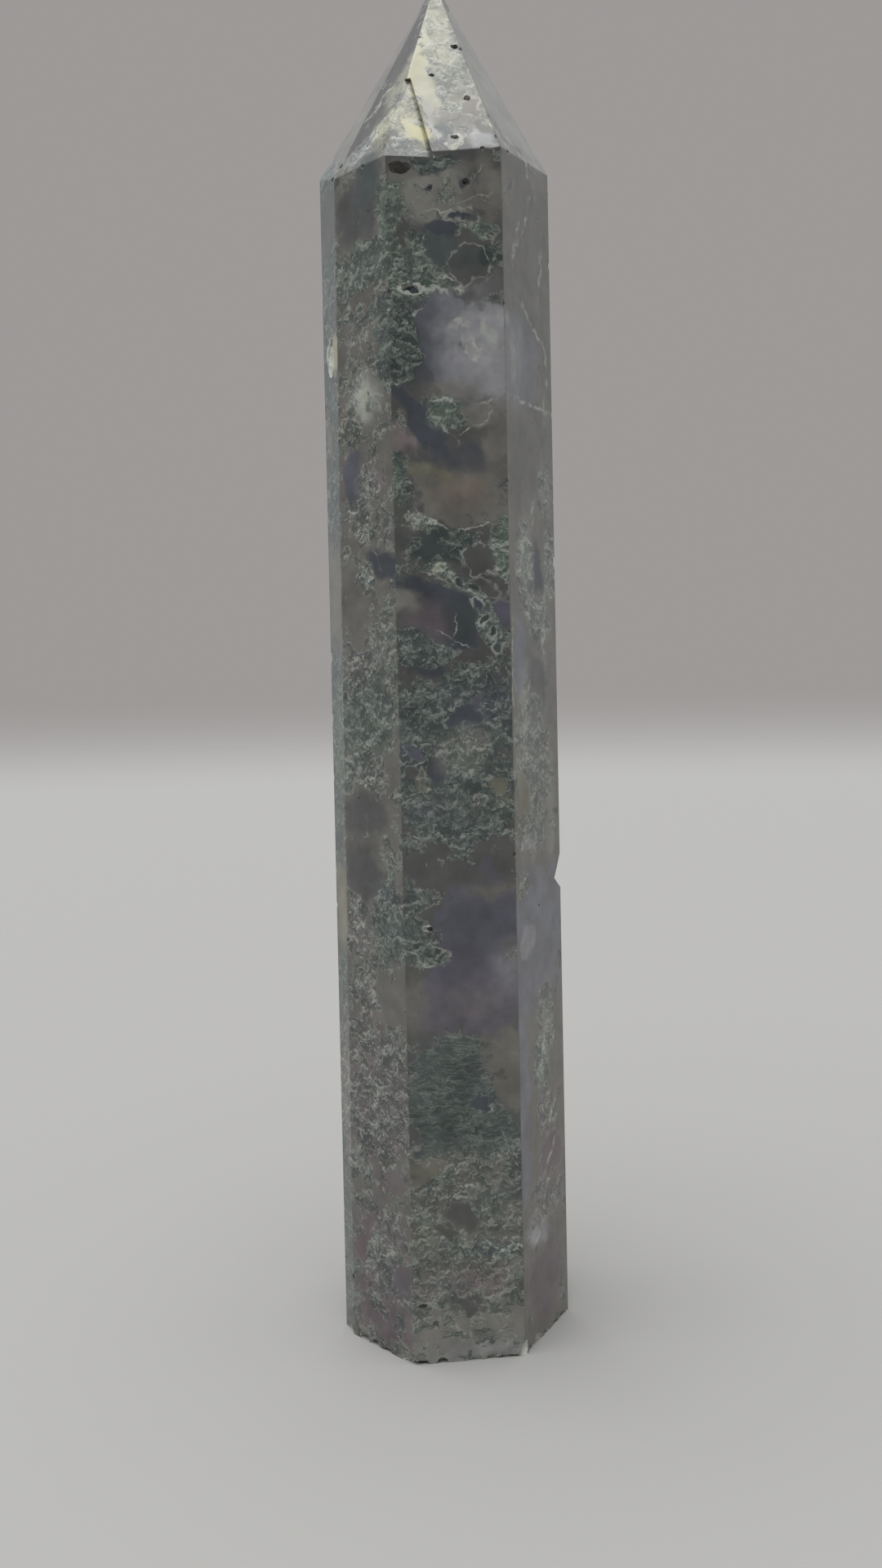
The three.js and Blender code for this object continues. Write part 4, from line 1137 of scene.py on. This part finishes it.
def unroll(stone, planes):
    """Write on each corner its place on the unrolled faces: across the face and up, in mm."""
    homes = []
    for plane in planes:
        if abs(plane.normal.z) < 0.9:
            turn = math.degrees(math.atan2(plane.normal.x, -plane.normal.y)) % 360
            nearest = min(range(len(FACES)), key=lambda i: abs((FACES[i].turn - turn + 180) % 360 - 180))
            homes.append((plane, nearest))
    layer = stone.data.attributes.new(UNROLLED, "FLOAT_VECTOR", "CORNER")
    vertices = stone.data.vertices
    for polygon in stone.data.polygons:
        _, index = min(homes, key=lambda home: home[0].reach - home[0].normal.dot(polygon.center))
        turn = math.radians(FACES[index].turn)
        for loop in polygon.loop_indices:
            place = vertices[stone.data.loops[loop].vertex_index].co / MM
            across = place.x * math.cos(turn) + place.y * math.sin(turn)
            layer.data[loop].vector = (FACE_SPACING * index + across, place.z, 0.0)


class AGATE_OT_stone(bpy.types.Operator):
    """Make the polished stone with its chips, pits and pattern"""

    bl_idname = "agate.stone"
    bl_label = "Make the stone"

    def execute(self, context):
        sizes = context.scene.agate_sizes
        colours = context.scene.agate_colours
        chance = random.Random(NICK_SEED)
        planes, steps = ground_planes()
        polished = agate_material("polished agate", colours, roughness=0.16, bump=0.12, bump_scale=0.6)
        chipped = agate_material("chipped agate", colours, roughness=0.5, bump=0.6, bump_scale=6.0,
                                 whitening=0.88)
        sawn = agate_material("sawn agate", colours, roughness=0.42, bump=0.5, bump_scale=3.0,
                              whitening=0.12)
        stone, long_edges = ground_column(planes, sizes)
        for finish in (polished, chipped, sawn):
            stone.data.materials.append(finish)
        tool = nick_tool(nick_places(planes, long_edges, sizes, chance), chance)
        tool.data.materials.append(chipped)
        cut(stone, tool, "DIFFERENCE")
        flawed = flawed_copy(planes + steps, sizes)
        flawed.data.materials.clear()
        flawed.data.materials.append(chipped)
        cut(stone, flawed, "INTERSECT")
        if list(stone.data.materials) != [polished, chipped, sawn]:
            raise RuntimeError("the cuts didn't keep the finishes in order")
        for polygon in stone.data.polygons:
            if polygon.normal.z < -0.999 and polygon.center.z < 0.01 * MM:
                polygon.material_index = SAWN
            elif any(lies_on(step, [polygon.center]) for step in steps):
                polygon.material_index = POLISHED
        unroll(stone, planes)
        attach(stone, "root")
        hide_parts(STONE_NODE)
        return {"FINISHED"}


# The tint of the room's light, how the overhead light leans and how broad it is.
DAYLIGHT = (0.97, 0.985, 1.0, 1.0)
OVERHEAD_LEAN = (math.radians(8), math.radians(-10), 0.0)
OVERHEAD_BREADTH = math.radians(75)
SENSOR_WIDTH = 36.0


def table_material(colour):
    """A plain pale table top that fades into the backdrop far away."""
    material = bpy.data.materials.new("pale table")
    material.use_nodes = True
    graph = Graph(material.node_tree)
    place = graph.node("ShaderNodeTexCoord", output="Object")
    nearness = 1.0 / graph.length(place)
    surface = graph.node("ShaderNodeBsdfPrincipled", {}, {
        "Base Color": from_screen(colour), "Roughness": 0.8, "Specular IOR Level": 0.2,
        "Alpha": graph.ease(nearness, 0.0, 1.05)})
    graph.node("ShaderNodeOutputMaterial", {}, {"Surface": surface})
    return material


def room_light(world, wall, strength):
    """An even room: the camera sees the plain wall, and the stone gets soft light from all round."""
    world.use_nodes = True
    graph = Graph(world.node_tree)
    way = graph.node("ShaderNodeTexCoord", output="Generated")
    side = graph.node("ShaderNodeSeparateXYZ", {}, {0: way})
    level = graph.ease(side.other("Y") + side * 0.35, -0.9, 0.6, 0.45, 1.25)
    seen = graph.node("ShaderNodeLightPath", output="Is Camera Ray")
    backdrop = graph.node("ShaderNodeBackground", {}, {"Color": from_screen(wall), "Strength": 1.0})
    soft = graph.node("ShaderNodeBackground", {}, {"Color": DAYLIGHT, "Strength": level * strength})
    mixed = graph.node("ShaderNodeMixShader", {}, {0: seen, 1: soft, 2: backdrop})
    graph.node("ShaderNodeOutputWorld", {}, {"Surface": mixed})


class AGATE_OT_stage(bpy.types.Operator):
    """Make the table, the light and the camera"""

    bl_idname = "agate.stage"
    bl_label = "Make the stage"

    def execute(self, context):
        settings = context.scene.agate_stage
        deselect_all()
        bpy.ops.mesh.primitive_circle_add(vertices=96, radius=settings.table_reach, fill_type="NGON")
        table = context.object
        table.name = "table"
        table.data.materials.append(table_material(settings.table))

        deselect_all()
        bpy.ops.object.light_add(type="SUN", location=(0.0, 0.0, 1.0), rotation=OVERHEAD_LEAN)
        overhead = context.object
        overhead.name = "overhead light"
        overhead.data.energy = settings.overhead
        overhead.data.angle = OVERHEAD_BREADTH

        deselect_all()
        bpy.ops.object.camera_add(location=(settings.camera_side, -settings.camera_distance,
                                            settings.camera_height))
        camera = context.object
        level = Matrix.Rotation(math.radians(90) - settings.camera_pitch, 4, "X")
        camera.rotation_euler = (level @ Matrix.Rotation(settings.camera_roll, 4, "Z")).to_euler()
        camera.data.lens = settings.lens
        camera.data.sensor_width = SENSOR_WIDTH
        camera.data.clip_start = 0.01
        context.scene.camera = camera

        if context.scene.world is None:
            context.scene.world = bpy.data.worlds.new("room")
        room_light(context.scene.world, settings.wall, settings.room)
        context.scene.view_settings.view_transform = "Standard"
        return {"FINISHED"}


class AGATE_PT_tower(bpy.types.Panel):
    """Lists the sizes, colours and steps of the moss agate tower"""

    bl_label = "Moss agate tower"
    bl_idname = "AGATE_PT_tower"
    bl_space_type = "VIEW_3D"
    bl_region_type = "UI"
    bl_category = "Agate"

    def draw(self, context):
        layout = self.layout
        for group in (context.scene.agate_sizes, context.scene.agate_colours, context.scene.agate_stage):
            box = layout.box()
            for name in group.__annotations__:
                box.prop(group, name)
        layout.operator(AGATE_OT_stage.bl_idname)
        layout.operator(AGATE_OT_stone.bl_idname)


CLASSES = (StoneSizes, StoneColours, StageSettings, AGATE_OT_stage, AGATE_OT_stone, AGATE_PT_tower)


def register():
    """Make the settings, the operators and the panel known to Blender."""
    for item in CLASSES:
        bpy.utils.register_class(item)
    bpy.types.Scene.agate_sizes = bpy.props.PointerProperty(type=StoneSizes)
    bpy.types.Scene.agate_colours = bpy.props.PointerProperty(type=StoneColours)
    bpy.types.Scene.agate_stage = bpy.props.PointerProperty(type=StageSettings)


def unregister():
    """Take them away again."""
    del bpy.types.Scene.agate_stage
    del bpy.types.Scene.agate_colours
    del bpy.types.Scene.agate_sizes
    for item in reversed(CLASSES):
        bpy.utils.unregister_class(item)


def main():
    """Make the stage and the stone."""
    register()
    bpy.ops.agate.stage()
    bpy.ops.agate.stone()


if __name__ == "__main__":
    main()
